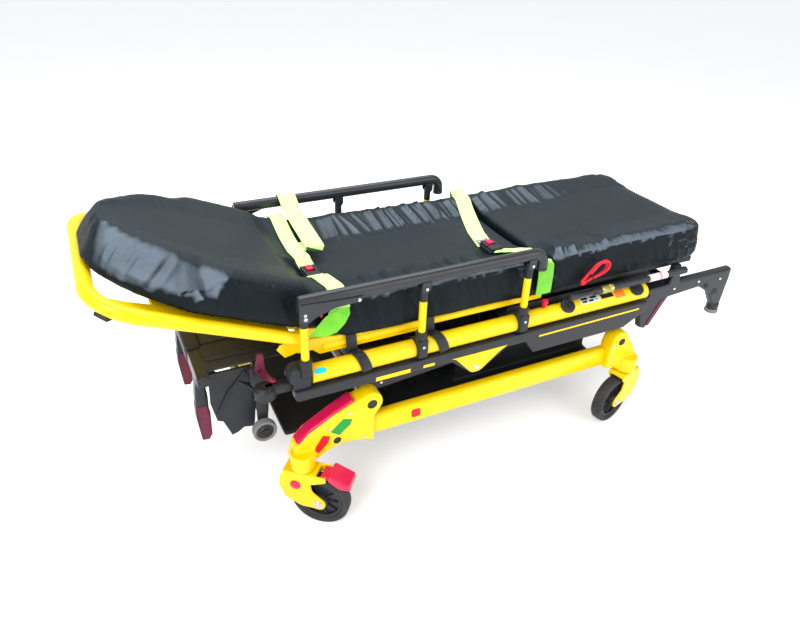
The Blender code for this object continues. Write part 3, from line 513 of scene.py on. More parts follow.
TRAIL = 0.045
WHEEL_R = 0.075
rubber = Finish("tyre_rubber", "tyre_rubber")
rubber_dust = rubber.noise(14, 6)
rubber_tone = rubber.mix(rubber_dust.above(0.42, 3), (0.012, 0.012, 0.013, 1), (0.045, 0.043, 0.04, 1))
rubber.feed(Base_Color=rubber_tone, Roughness=rubber_dust * 0.25 + 0.62)
rubber.bump(rubber.noise(260, 4), 0.0006, 0.5)
hub_plastic = finish_like("wheel_hub", "black_plastic", (0.014, 0.015, 0.017), (0.03, 0.032, 0.036), 0.42)


def tyre():
    """Tread with a shallow groove each side, rounded shoulders and a stepped side wall."""
    half = [(0.0545, 0.0105), (0.0575, 0.0125), (0.06, 0.016), (0.0665, 0.0178), (0.0705, 0.0168),
        (0.0735, 0.014), (0.0748, 0.01), (0.074, 0.0088), (0.0748, 0.0076), (0.075, 0.002)]
    return lathe(half + [(r, -z) for r, z in reversed(half)], 64, closed=True)


def hub():
    """Rim, web with ten ribs and a boss with its bearing cap."""
    rim = [(0.05, 0.012), (0.0555, 0.0125), (0.0555, -0.0125), (0.05, -0.012)]
    web = [(0.008, 0.0045), (0.051, 0.0045), (0.051, -0.0045), (0.008, -0.0045)]
    boss = [(0.0068, 0.02), (0.0165, 0.02), (0.02, 0.017), (0.0215, 0.004), (0.0215, -0.004),
        (0.02, -0.017), (0.0165, -0.02), (0.0068, -0.02)]
    shapes = [lathe(rim, 48, closed=True), lathe(web, 48, closed=True), lathe(boss, 36, closed=True)]
    for k in range(10):
        rib = slab((0.034, 0.0034, 0.02), 0.0012, (0.036, 0, 0), 2)
        shapes.append(moved(rib, Matrix.Rotation(math.radians(36 * k), 4, "Z")))
    return joined(*shapes)


for end, swivel_x, toe in (("head", -0.425, 40), ("foot", 0.597, 165)):
    for label, side in SIDES:
        name = f"{end}_{label}"
        turn = math.radians(toe * side)
        stem = Matrix.Translation((swivel_x, side * 0.295, 0)) @ Matrix.Rotation(turn, 4, "Z")
        axle = stem @ Matrix.Translation((TRAIL, 0, WHEEL_R)) @ Matrix.Rotation(math.pi / 2, 4, "X")
        cast_piece("caster_fork_" + name, "fork_" + name, 0.0019, yellow, "caster_" + name, 4)
        put("tyre_" + name, moved(tyre(), axle), rubber, "wheel_" + name, ["wheel_" + name])
        put("hub_" + name, moved(hub(), axle), hub_plastic, "wheel_" + name)
        nuts = []
        for cheek in (-1, 1):
            spot = stem @ Vector((TRAIL, cheek * 0.0275, WHEEL_R))
            out = stem.to_3x3() @ Vector((0, cheek, 0))
            nuts.append(washer(spot, out, 0.006, 0.0115, 0.0012))
            nuts.append(screw(spot + out * 0.001, out, 0.007))
        put("axle_nuts_" + name, joined(*nuts), steel, "caster_" + name)
        seat = lathe([(0.0125, 0.1678), (0.027, 0.1678), (0.0285, 0.1688), (0.027, 0.1697),
            (0.0125, 0.1697)], 32, closed=True)
        put("swivel_race_" + name, moved(seat, stem), steel, "caster_" + name)
        if end == "head":
            cast_piece("brake_tread_" + label, "brake_pedal_" + label, 0.0017, crimson, "pedal_" + label,
                4)
            caps = []
            for cheek in (-1, 1):
                spot = stem @ Vector((-0.012, cheek * 0.0272, 0.128))
                out = stem.to_3x3() @ Vector((0, cheek, 0))
                caps.append(turned([(0.0135, -0.002), (0.0135, 0.0016), (0.0115, 0.003), (0.006, 0.0036)],
                    spot, out, 28))
            put("lock_caps_" + label, joined(*caps), crimson, "caster_" + name)

# ---- X-frame legs -------------------------------------------------------------------------
# Two crossing pairs of black extruded legs with round ends, capped pivots and greased pads. The
# outer pair turns on the base shaft, and the inner pair hangs from the litter's steel shaft.

LEG_SLOPE = 0.0872
black = finish_like("black_powder_coat", "black_paint", (0.008, 0.009, 0.011), (0.02, 0.022, 0.026), 0.38,
    Coat_Weight=0.15)

for label, side in SIDES:
    out = (0, side, 0)
    cast_piece("leg_outer_" + label, "outer_leg_" + label, 0.003, black, "outer_legs")
    cast_piece("leg_inner_" + label, "inner_leg_" + label, 0.003, black, "inner_legs")
    face = side * 0.2322
    caps = [bung((0.1585, face, 0.34), out, 0.0155), bung((0.5595, face, 0.3745), out, 0.012)]
    put("leg_caps_" + label, joined(*caps), plastic, "outer_legs")
    bolts = [screw((x, face, SHAFT_Z + (x - SHAFT_X) * LEG_SLOPE), out, 0.0045)
        for x in (-0.19, 0.1, 0.217, 0.505)]
    put("leg_screws_" + label, joined(*bolts), steel, "outer_legs")
for name, node, spot, half, body, finish in (("litter_shaft", "inner_cross_tube", (SHAFT_X, 0, 0.375),
        0.2532, "inner_legs", shaft_steel), ("leg_tie", "outer_cross_tube", (0.56, 0, 0.375), 0.1973,
        "outer_legs", black)):
    bar = lathe([(0.0144, -half), (0.015, -half + 0.0006), (0.015, half - 0.0006), (0.0144, half)], 36)
    rings = [washer((spot[0], y, spot[2]), ACROSS, 0.015, 0.0185, 0.005) for y in (-0.145, 0.0, 0.145)]
    put(name, joined(moved(bar, aim(spot, ACROSS)), *rings), finish, body, [node])

# ---- Lift cylinder ------------------------------------------------------------------------
# The ram that raises the litter: a black barrel with a banded gland, and a ground steel rod
# that ends in a rod eye.

low, high = (Vector(c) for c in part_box("lift_cylinder"))
barrel_line = ((low.y + high.y) / 2, (low.z + high.z) / 2)
profile = [(0.0095, high.x), (0.02, high.x), (0.022, high.x - 0.003), (0.022, high.x - 0.024),
    (0.0205, high.x - 0.026), (0.0205, low.x + 0.026), (0.022, low.x + 0.024), (0.022, low.x + 0.003),
    (0.02, low.x), (0.0095, low.x)]
along_x = Matrix.Translation((0, *barrel_line)) @ Matrix.Rotation(math.pi / 2, 4, "Y")
put("lift_barrel", moved(lathe(profile, 40, closed=True), along_x), black, "litter", ["lift_cylinder"],
    shifted=False)
low, high = (Vector(c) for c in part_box("lift_rod"))
profile = [(0.008, low.x), (0.0085, low.x + 0.0005), (0.0085, high.x - 0.03), (0.0074, high.x - 0.028),
    (0.0074, high.x - 0.006), (0.006, high.x)]
put("ram_rod", moved(lathe(profile, 32), along_x), shaft_steel, "lift_rod", ["lift_rod"], shifted=False)

# ---- Litter tubes, clamps and hoops -------------------------------------------------------
# The two main yellow tubes of the litter with plugged ends. Black moulded clamps bolted over
# them hold the side rail posts, and black hoops come over them from the deck.

LITTER_Y = 0.258
LITTER_Z = 0.413
TUBE_R = 0.023
POST_X = (-0.4, -0.105, 0.193)
cyan_label = finish_like("cyan_label", "label_print", (0.0, 0.52, 0.8), (0.01, 0.6, 0.88), 0.4)

for label, side in SIDES:
    ends = [(-0.384, side * LITTER_Y, LITTER_Z), (0.634, side * LITTER_Y, LITTER_Z)]
    put("litter_side_tube_" + label, sweep(ends, circle(TUBE_R, 48), nose=0.0012), yellow, "litter",
        ["litter_tube_" + label])
    plug = lathe([(0.019, 0.0), (0.019, 0.002), (0.017, 0.0028), (0.006, 0.0022)], 32)
    put("tube_plug_" + label, moved(plug, aim((0.6335, side * LITTER_Y, LITTER_Z), (1, 0, 0))), plastic,
        "litter")
    clamps, bolts = [], []
    for x in POST_X:
        clamps.append(slab((0.026, 0.024, 0.03), 0.005, (x, side * 0.2745, 0.4375)))
        if x == POST_X[0]:
            continue
        hoop = [(x, side * (LITTER_Y + 0.0262 * math.cos(math.radians(a))),
            LITTER_Z + 0.0262 * math.sin(math.radians(a))) for a in range(-62, 151, 12)]
        clamps.append(sweep(hoop, rounded(0.0052, 0.028, 0.002, 3), upright=ALONG, nose=0.0015))
        clamps.append(slab((0.026, 0.01, 0.05), 0.003, (x, side * 0.2865, 0.425)))
        bolts.append(screw((x, side * 0.2914, 0.432), (0, side, 0), 0.0042))
    put("post_clamps_" + label, joined(*clamps), plastic, "litter")
    put("clamp_screws_" + label, joined(*bolts), steel, "litter")
    hoops = []
    for x in (-0.262, -0.052):
        line = [(x - 0.012, side * 0.229, 0.492), (x - 0.012, side * 0.236, 0.482)]
        line += [(x - 0.01 + 0.022 * k / 9, side * (LITTER_Y + 0.0275 * math.cos(math.radians(128
            - 17.5 * k))), LITTER_Z + 0.0275 * math.sin(math.radians(128 - 17.5 * k))) for k in range(10)]
        hoops.append(sweep(line, rounded(0.0058, 0.027, 0.0026, 3), upright=ALONG, nose=0.002))
    put("deck_hoops_" + label, joined(*hoops), plastic, "litter")

cyan_corners = [(x, -0.2592 - 0.0228 * math.cos(math.radians(a)),
    LITTER_Z + 0.0228 * math.sin(math.radians(a))) for x, a in ((-0.379, 60), (-0.351, 60), (-0.351, 26),
    (-0.379, 26))]
put("cyan_marker", marker(cyan_corners, 0.001), cyan_label, "litter")

# ---- Lower rails --------------------------------------------------------------------------
# A black bar bolted under each litter tube, with yellow inlays, a yellow three-cornered lug for
# the maintenance pin, a deep skirt at the foot end, and a rounded bracket on its head end.

for label, side in SIDES:
    out = (0, side, 0)
    face = side * 0.2862
    cast_piece("lower_rail_" + label, "litter_rail_" + label, 0.0024, black, "litter", 3)
    flat = on_side(face)
    inlays = [sheet_of([(x0, z0), (x1, z0 + slope), (x1, z1 + slope), (x0, z1)], 0.0018, 0.0007)
        for x0, x1, z0, z1, slope in ((-0.229, -0.136, 0.3625, 0.374, 0.0),
        (-0.1, -0.068, 0.365, 0.373, 0.0), (0.252, 0.604, 0.3665, 0.372, 0.003))]
    lug = [(-0.018, 0.368), (-0.006, 0.364), (0.04, 0.314), (0.05, 0.3085), (0.066, 0.3085),
        (0.076, 0.314), (0.128, 0.356), (0.15, 0.368)]
    inlays.append(sheet_of(lug, 0.004, 0.0015, 3))
    put("rail_inlays_" + label, moved(joined(*inlays), flat), yellow, "litter")
    put("lug_bolt_" + label, joined(washer((0.058, face + side * 0.002, 0.324), out, 0.004, 0.0085,
        0.0012), screw((0.058, face + side * 0.003, 0.324), out, 0.0062)), steel, "litter")
    bracket = [slab((0.046, 0.034, 0.064), 0.01, (-0.408, side * 0.262, 0.402), 4)]
    bracket.append(turned([(0.006, -0.02), (0.021, -0.02), (0.024, -0.016), (0.024, 0.016), (0.02, 0.02),
        (0.006, 0.02)], (-0.418, side * 0.258, 0.424), ACROSS, 28))
    bracket.append(slab((0.07, 0.024, 0.026), 0.007, (-0.462, side * 0.252, 0.392), 4))
    bracket.append(turned([(0.006, -0.017), (0.022, -0.017), (0.026, -0.012), (0.026, 0.01),
        (0.018, 0.017), (0.006, 0.017)], (-0.492, side * 0.25, 0.388), (0, 0, 1), 28))
    put("head_bracket_" + label, joined(*bracket), plastic, "litter")

# ---- Seat deck and pump housing -----------------------------------------------------------
# A yellow pressed deck under the seat with folded side panels, and the moulded black housing of
# the pump and battery below it, ribbed for cooling.


def dress(node, finish):
    """Gives a frame node that keeps its own shape a better finish."""
    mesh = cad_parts[node].data
    mesh.materials.clear()
    mesh.materials.append(finish.material)


dress("seat_deck", yellow)
for label, side in SIDES:
    flat = on_side(side * 0.227)
    arch = [(-0.452, 0.478), (-0.444, 0.489), (-0.426, 0.4935), (-0.33, 0.484), (-0.095, 0.462),
        (-0.085, 0.44), (-0.35, 0.44), (-0.366, 0.455), (-0.392, 0.462), (-0.416, 0.455), (-0.434, 0.452)]
    put("deck_side_panel_" + label, moved(sheet_of(arch, 0.003, 0.0012), flat), yellow, "litter")

low, high = (Vector(c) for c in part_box("pump_housing"))
shell = slab(high - low, 0.014, (low + high) / 2, 4)
fins = [slab((0.006, high.y - low.y + 0.004, 0.07), 0.002,
    (low.x + 0.06 + 0.016 * k, (low.y + high.y) / 2, (low.z + high.z) / 2), 2) for k in range(15)]
put("pump_shell", joined(shell, *fins), plastic, "litter", ["pump_housing"], shifted=False)

pan = [slab((0.568, 0.466, 0.006), 0.0025, (0.459, 0, 0.403), 2)]
pan += [slab((0.558, 0.01, 0.016), 0.003, (0.459, y, 0.411), 2) for y in (-0.224, -0.11, 0.0, 0.11,
    0.224)]
pan += [slab((0.48, 0.004, 0.044), 0.0018, (0.415, side * 0.2315, 0.424), 2) for side in (-1, 1)]
put("under_deck_pan", joined(*pan), plastic, "litter")

# ---- Foot end arms ------------------------------------------------------------------------
# Black cast lifting arms with a ridge along the top, a maroon bumper at the root and a grey
# rubber foot under the tip. A padded bar with the control box and its rocker joins them.

ARM_Y = 0.25
BAR_AT = (0.78, 0, 0.392)
maroon = finish_like("maroon_moulding", "maroon_plastic", (0.1, 0.01, 0.03), (0.17, 0.018, 0.048), 0.38)
grey_rubber = finish_like("grey_rubber", "rubber_foot", (0.12, 0.12, 0.125), (0.24, 0.24, 0.25), 0.7)

for label, side in SIDES:
    out = (0, side, 0)
    face = side * 0.2612
    cast_piece("lift_arm_" + label, "foot_arm_" + label, 0.0022, black, "litter", 3)
    foot = lathe([(0.012, 0.2572), (0.0195, 0.2572), (0.0212, 0.26), (0.0205, 0.266), (0.0192, 0.27),
        (0.012, 0.27)], 36, closed=True)
    put("arm_foot_" + label, moved(foot, Matrix.Translation((0.975, side * ARM_Y, 0))), grey_rubber,
        "litter")
    flat = on_side(side * 0.259)
    bumper = sheet_of([(0.716, 0.366), (0.738, 0.362), (0.69, 0.277), (0.672, 0.281)], 0.008, 0.003, 3)
    ridge_line = [(0.735, side * ARM_Y, 0.4135), (0.88, side * ARM_Y, 0.4135),
        (0.992, side * ARM_Y, 0.4145)]
    ridge = sweep(ridge_line, rounded(0.018, 0.006, 0.0026), nose=0.003)
    put("arm_bumper_" + label, moved(bumper, flat), maroon, "litter")
    pads = [ridge, bung((0.9, face, 0.372), out, 0.0085), washer((0.95, face, 0.34), out, 0.004, 0.012,
        0.0015), bung((0.655, face, 0.388), out, 0.01)]
    put("arm_trim_" + label, joined(*pads), plastic, "litter")
    put("arm_screws_" + label, joined(screw((0.76, face, 0.392), out), screw((0.86, face, 0.395), out),
        screw((0.955, face, 0.385), out)), steel, "litter")

grip = lathe([(0.011, -0.238), (0.0125, -0.2365), (0.0125, -0.085), (0.015, -0.083), (0.015, 0.083),
    (0.0125, 0.085), (0.0125, 0.2365), (0.011, 0.238)], 36)
box = slab((0.052, 0.14, 0.04), 0.008, BAR_AT, 4)
collar = [turned([(0.0125, -0.006), (0.016, -0.005), (0.016, 0.005), (0.0125, 0.006)], (0.78, y, 0.392),
    ACROSS, 28, closed=True) for y in (-0.205, 0.205)]
put("control_bar", joined(moved(grip, aim(BAR_AT, ACROSS)), box, *collar), plastic, "litter", ["end_bar"])
low, high = (Vector(c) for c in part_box("lift_rocker"))
rocker = block(high - low, 0.0016, 3)
for vertex in rocker.verts:
    if vertex.co.z > 0:
        vertex.co.z += 0.0022 * (abs(vertex.co.y) / 0.03) ** 2
put("lift_rocker_cap", moved(rocker, Matrix.Translation((low + high) / 2)), crimson, "rocker",
    ["lift_rocker"], shifted=False)
dress("foot_panel", plastic)
panel_ribs = [slab((0.008, 0.42, 0.006), 0.002, (x, 0, 0.4478), 2) for x in (0.34, 0.42, 0.5, 0.58, 0.66,
    0.74, 0.82)]
put("leg_deck_ribs", joined(*panel_ribs), plastic, "foot_section")

# ---- Side rails ---------------------------------------------------------------------------
# Folding rails: yellow steel posts with black knuckles at their tops, under a deep black rail
# that hooks down at its foot end. Steel pins go through the clevises, and a gusset covers the first.

RAIL_Y = 0.275
RAIL_Z = 0.62
rail_black = finish_like("rail_black", "black_paint", (0.01, 0.012, 0.014), (0.03, 0.034, 0.039), 0.33,
    Coat_Weight=0.2)
for label, side in SIDES:
    rail_y = side * RAIL_Y
    for number, x in enumerate(POST_X, start=1):
        body = f"post_{label}_{number}"
        post = sweep([(x, rail_y, 0.452), (x, rail_y, 0.56)], circle(0.0095, 28), upright=ACROSS)
        put(f"post_tube_{label}_{number}", post, yellow, body, [f"rail_post_{label}_{number}"])
        knuckle = lathe([(0.009, 0.556), (0.0101, 0.5568), (0.0101, 0.59), (0.009, 0.598),
            (0.005, 0.6005)], 28)
        cup = lathe([(0.0098, 0.446), (0.014, 0.446), (0.015, 0.448), (0.015, 0.466), (0.0135, 0.4705),
            (0.0098, 0.4705)], 28, closed=True)
        put(f"post_knuckle_{label}_{number}", moved(joined(knuckle, cup),
            Matrix.Translation((x, rail_y, 0))), plastic, body)
    bend = [(0.202 + 0.028 * math.sin(math.pi / 2 * k / 6), rail_y,
        0.592 + 0.028 * math.cos(math.pi / 2 * k / 6)) for k in range(7)]
    line = [(-0.412, rail_y, RAIL_Z), (-0.2, rail_y, RAIL_Z), (0.0, rail_y, RAIL_Z), *bend,
        (0.23, rail_y, 0.5735)]
    rail = [sweep(line, rounded(0.029, 0.025, 0.0115, 5), upright=ACROSS, nose=0.003)]
    pins = []
    for x in POST_X:
        for cheek in (-1, 1):
            ear = [(x - 0.012, 0.612), (x - 0.0115, 0.59), (x - 0.006, 0.5835), (x + 0.006, 0.5835),
                (x + 0.0115, 0.59), (x + 0.012, 0.612)]
            spot = on_side(rail_y + cheek * 0.0118)
            rail.append(moved(sheet_of(ear, 0.0026, 0.0009), spot))
        out = (0, side, 0)
        pins.append(screw((x, rail_y + side * 0.0142, 0.594), out, 0.0042))
    web = [(-0.4135, 0.622), (-0.413, 0.578), (-0.405, 0.572), (-0.392, 0.572), (-0.376, 0.583),
        (-0.33, 0.5975), (-0.272, 0.6), (-0.26, 0.612)]
    spot = on_side(rail_y + side * 0.014)
    rail.append(moved(sheet_of(web, 0.003, 0.0012, 3), spot))
    pins.append(screw((-0.4, rail_y + side * 0.0162, 0.585), (0, side, 0), 0.005))
    pins.append(screw((-0.275, rail_y + side * 0.0162, 0.606), (0, side, 0), 0.0046))
    rail.append(moved(lathe([(0.0125, -0.003), (0.015, -0.001), (0.015, 0.004), (0.012, 0.006)], 28),
        Matrix.Translation((0.23, rail_y, 0.5745))))
    put("rail_bar_" + label, joined(*rail), rail_black, "rail_" + label, ["side_rail_" + label])
    put("rail_pins_" + label, joined(*pins), steel, "rail_" + label)

# ---- Backrest -----------------------------------------------------------------------------
# A bent yellow tube loop round a riveted yellow panel. The head bar past the panel's end is a
# hand-hold, kept by two straps of sheet, with black rub blocks under its corners.

BACK = Matrix.Translation((-0.39, 0, 0.502)) @ Matrix.Rotation(math.radians(23), 4, "Y")
CORNER = 0.095
half_loop = [(0.004, -0.246), (-0.06, -0.246), (-0.14, -0.246), (-0.23, -0.246), (-0.3, -0.246)]
half_loop += [(-0.36 - CORNER * math.sin(a), -0.246 + CORNER * (1 - math.cos(a)))
    for a in (math.pi / 2 * k / 12 for k in range(13))]
half_loop += [(-0.455, -0.075)]
loop = [(x, y, 0) for x, y in half_loop] + [(-0.455, 0, 0)] + [(x, -y, 0) for x, y in reversed(half_loop)]
swell = [1.0, 1.0, 1.0, 1.02, 1.06] + [1.1] * 14
parts = [sweep(loop, rounded(0.031, 0.029, 0.014, 6), nose=0.002, sizes=swell + [1.1] + swell[::-1])]
plate = [(-0.036, -0.236), (-0.3, -0.236), (-0.324, -0.226), (-0.333, -0.205), (-0.333, 0.205),
    (-0.324, 0.226), (-0.3, 0.236), (-0.036, 0.236), (-0.03, 0.226), (-0.03, -0.226)]
parts.append(sheet_of(plate, 0.007, 0.0025, 3))
for side in (-1, 1):
    strap = [(-0.325, side * 0.186), (-0.325, side * 0.222), (-0.372, side * 0.226),
        (-0.432, side * 0.214), (-0.44, side * 0.2), (-0.43, side * 0.186), (-0.38, side * 0.19)]
    parts.append(sheet_of(strap, 0.006, 0.0022, 3))
    parts.append(turned([(0.0055, -0.016), (0.006, -0.015), (0.006, 0.015), (0.0055, 0.016)],
        (0, side * 0.226, 0), ACROSS, 24))
    bead = [(-0.06, side * 0.15, -0.0045), (-0.18, side * 0.15, -0.0045), (-0.3, side * 0.15, -0.0045)]
    parts.append(sweep(bead, rounded(0.02, 0.005, 0.002), nose=0.003))
put("backrest_loop", moved(joined(*parts), BACK), yellow, "backrest", ["backrest_frame"])
rivets = [screw((x, side * 0.224, -0.0036), (0, 0, -1), 0.0045) for side in (-1, 1)
    for x in (-0.07, -0.14, -0.21, -0.28)]
put("backrest_rivets", moved(joined(*rivets), BACK), steel, "backrest")
blocks = [moved(block((0.034, 0.02, 0.01), 0.004, 3), Matrix.Translation((-0.423, side * 0.225,
    -0.0185)) @ Matrix.Rotation(side * 0.75, 4, "Z")) for side in (-1, 1)]
put("backrest_rub_blocks", moved(joined(*blocks), BACK), plastic, "backrest")
cast_piece("release_lever", "backrest_handle", 0.0011, yellow, "release_handle", 3)

# ---- Head section -------------------------------------------------------------------------
# The black sliding section at the head end: slide tubes in moulded collars, legs with two grey
# loading wheels, and the sprung safety bar with its maroon boots.

cast_piece("head_slide", "head_frame", 0.0026, black, "head_section", 3)
cast_piece("slide_release", "head_release", 0.0011, maroon, "head_release", 3)
thumb = moved(block((0.02, 0.013, 0.018), 0.005, 4), Matrix.Translation((-0.465, -0.207,
    0.38)) @ Matrix.Rotation(0.75, 4, "Y"))
put("slide_release_thumb", thumb, crimson, "head_release")
cheek = [(-0.601, 0.408), (-0.604, 0.32), (-0.593, 0.264), (-0.58, 0.258), (-0.562, 0.208),
    (-0.548, 0.212), (-0.53, 0.224), (-0.505, 0.218), (-0.499, 0.27), (-0.5, 0.408)]
shroud = [moved(sheet_of(cheek, 0.006, 0.0022, 3), on_side(y)) for y in (-0.16, 0.16)]
shroud.append(slab((0.212, 0.372, 0.007), 0.003, (-0.505, 0, 0.434), 2))
shroud += [slab((0.19, 0.008, 0.005), 0.002, (-0.505, y, 0.4392), 2) for y in (-0.15, -0.075, 0.0, 0.075,
    0.15)]
shroud += [sweep([(-0.59, y, 0.285), (-0.56, y, 0.345), (-0.515, y, 0.395)], circle(0.0036, 12),
    nose=0.001) for y in (-0.165, 0.165)]
shroud.append(sweep([(-0.58, y, 0.27) for y in (-0.157, 0.0, 0.157)], circle(0.006, 14), upright=ALONG,
    nose=0.001))
put("head_shroud", joined(*shroud), plastic, "head_section")
cast_piece("catch_bar", "safety_bar", 0.002, black, "safety_bar", 3)
for label, side in SIDES:
    spot = (-0.49, side * 0.199, 0.231)
    grey_tyre = lathe([(0.0215, 0.008), (0.025, 0.0112), (0.0285, 0.01), (0.03, 0.006), (0.03, -0.006),
        (0.0285, -0.01), (0.025, -0.0112), (0.0215, -0.008)], 48, closed=True)
    put("load_tyre_" + label, moved(grey_tyre, aim(spot, ACROSS)), grey_rubber, "load_wheel_" + label,
        ["load_wheel_" + label])
    core = lathe([(0.0066, 0.0105), (0.012, 0.0105), (0.014, 0.008), (0.0218, 0.0075), (0.0218, -0.0075),
        (0.014, -0.008), (0.012, -0.0105), (0.0066, -0.0105)], 36, closed=True)
    put("load_hub_" + label, moved(core, aim(spot, ACROSS)), hub_plastic, "load_wheel_" + label)
    out = Vector((0, side, 0))
    legs = [bung(Vector(spot) + out * 0.0128, out, 0.0085)]
    legs.append(slab((0.04, 0.014, 0.052), 0.005, (-0.49, side * 0.1825, 0.388), 3))
    legs.append(slab((0.028, 0.016, 0.03), 0.005, (-0.489, side * 0.1825, 0.3), 3))
    brace = [(-0.486, side * 0.176, 0.33), (-0.54, side * 0.158, 0.372), (-0.606, side * 0.14, 0.408)]
    legs.append(sweep(brace, circle(0.0052, 14), nose=0.001))
    put("loading_leg_trim_" + label, joined(*legs), plastic, "head_section")
    boot = [(0.0105, -0.082), (0.015, -0.112), (0.0122, -0.18), (0.0035, -0.1952), (-0.013, -0.1925),
        (-0.0192, -0.12), (-0.0178, -0.082)]
    flat = Matrix.Translation((-0.618, side * 0.1208, 0.385)) @ Matrix.Rotation(math.pi / 2, 4, "X")
    put("catch_boot_" + label, moved(sheet_of(boot, 0.032, 0.004, 3), flat), maroon, "safety_bar")
    sleeves = [turned([(0.0128, -0.018), (0.0185, -0.018), (0.02, -0.015), (0.02, 0.015), (0.0185, 0.018),
        (0.0128, 0.018)], (x, side * 0.12, 0.418), (1, 0, 0), 32, closed=True) for x in (-0.365, -0.225)]
    sleeves.append(slab((0.03, 0.105, 0.018), 0.004, (-0.365, side * 0.188, 0.418), 3))
    put("slide_sleeves_" + label, joined(*sleeves), plastic, "litter")
head_bar = [slab((0.038, 0.18, 0.044), 0.008, (-0.616, 0, 0.424), 4)]
head_bar += [turned([(0.008, -0.016), (0.014, -0.015), (0.015, 0.0), (0.014, 0.015), (0.008, 0.016)],
    (-0.618, y, 0.423), ACROSS, 24) for y in (-0.195, 0.195)]
put("head_bar_cover", joined(*head_bar), plastic, "head_section")

# ---- Mattress -----------------------------------------------------------------------------
# Foam cushions in welded, coated black fabric: raised bolsters along both sides, a tapered head
# end with sloping facets, and a leg cushion after the knee fold. The cover wrinkles on the bolsters.

vinyl = Finish("coated_fabric", "black_vinyl", Specular_IOR_Level=0.1)
vinyl_cloud = vinyl.noise(6, 5)
vinyl_crease = vinyl.noise(26, 7, stretch=(1, 0.35, 1.4), roughness=0.6)
vinyl_cells = vinyl.node("ShaderNodeTexVoronoi", {"feature": "DISTANCE_TO_EDGE"},
    {"Vector": vinyl.place, "Scale": 640.0})
vinyl_tone = vinyl.mix(vinyl_cloud, (0.003, 0.006, 0.008, 1), (0.007, 0.012, 0.015, 1))
vinyl_rub = vinyl.noise(70, 8, stretch=(1, 5, 5)).above(0.66, 10)
vinyl_tone = vinyl.mix(vinyl_rub * 0.35, vinyl_tone, (0.06, 0.07, 0.08, 1))
# Painted light: faces of the cover turned up are painted lighter, and faces turned towards the near side
# and the lamps get a patchy painted blue-grey sheen, a painted highlight.
vinyl_facing = vinyl.node("ShaderNodeNewGeometry", output="Normal")
vinyl_toward_lamps = vinyl.node("ShaderNodeVectorMath", {"operation": "DOT_PRODUCT"},
    {0: vinyl_facing, 1: (-0.3, -0.62, 0.72)}, output="Value")
vinyl_painted_top_light = vinyl.node("ShaderNodeSeparateXYZ", {}, {0: vinyl_facing}, output="Z").above(0.6, 3)
vinyl_tone = vinyl.mix(vinyl_painted_top_light * 0.55, vinyl_tone, (0.026, 0.037, 0.043, 1))
vinyl_sheen_patches = 0.72 + 0.28 * vinyl.noise(14, 6, stretch=(1, 1, 2)).above(0.3, 2.4)
vinyl_painted_sheen = vinyl_toward_lamps.above(0.84, 8) * vinyl_sheen_patches
vinyl_tone = vinyl.mix(vinyl_painted_sheen * 0.85, vinyl_tone, (0.14, 0.175, 0.215, 1))
vinyl.feed(Base_Color=vinyl_tone, Roughness=vinyl_cloud * 0.12 + vinyl_crease * 0.12 + 0.3)
vinyl.bump(vinyl_crease * 2.4 + vinyl_cells * 0.35, 0.0016, 0.45)


def ease(value, low, high):
    """0 at or below low, 1 at or above high, smooth between."""
    t = min(max((value - low) / (high - low), 0.0), 1.0)
    return t * t * (3 - 2 * t)


def read_off(table, value):
    """Straight-line reading of a table of (place, amount) pairs."""
    for (x0, y0), (x1, y1) in pairwise(table):
        if value <= x1:
            return y0 + (y1 - y0) * max(value - x0, 0.0) / (x1 - x0)
    return table[-1][1]


def cushion_ring(bottom, upper, half_low, half_top, dip):
    """One cross-section: flat below, an upright then sloping side, and a dished top."""
    across = [(t / 4 * (half_low - 0.01), 0.0) for t in range(-4, 5)]
    side = [(half_low - 0.001, 0.05), (half_low + 0.002, 0.22), (half_low, 0.44),
        (half_top + 0.003, 0.93)]
    crown = [(half_top - 0.012, 1.0), (half_top * 0.86, 0.995), (half_top * 0.7, 1 - dip * 0.45),
        (half_top * 0.5, 1 - dip * 0.95), (half_top * 0.25, 1 - dip), (0.0, 1 - dip)]
    top_line = crown + [(-y, t) for y, t in reversed(crown[:-1])]
    outline = across + side + top_line + [(-y, t) for y, t in reversed(side)]
    return [Vector((bottom[0] + (upper[0] - bottom[0]) * t, y, bottom[1] + (upper[1] - bottom[1]) * t))
        for y, t in outline]


def cushion_form(stations):
    bm = bmesh.new()
    rings = [[bm.verts.new(p) for p in cushion_ring(*station)] for station in stations]
    for first, second in pairwise(rings):
        for k in range(len(first)):
            n = (k + 1) % len(first)
            bm.faces.new((first[k], first[n], second[n], second[k]))
    bm.faces.new(rings[0])
    bm.faces.new(rings[-1])
    bmesh.ops.recalc_face_normals(bm, faces=bm.faces)
    return bm


def evaluated_copy(thing):
    graph = bpy.context.evaluated_depsgraph_get()
    return bpy.data.meshes.new_from_object(thing.evaluated_get(graph))


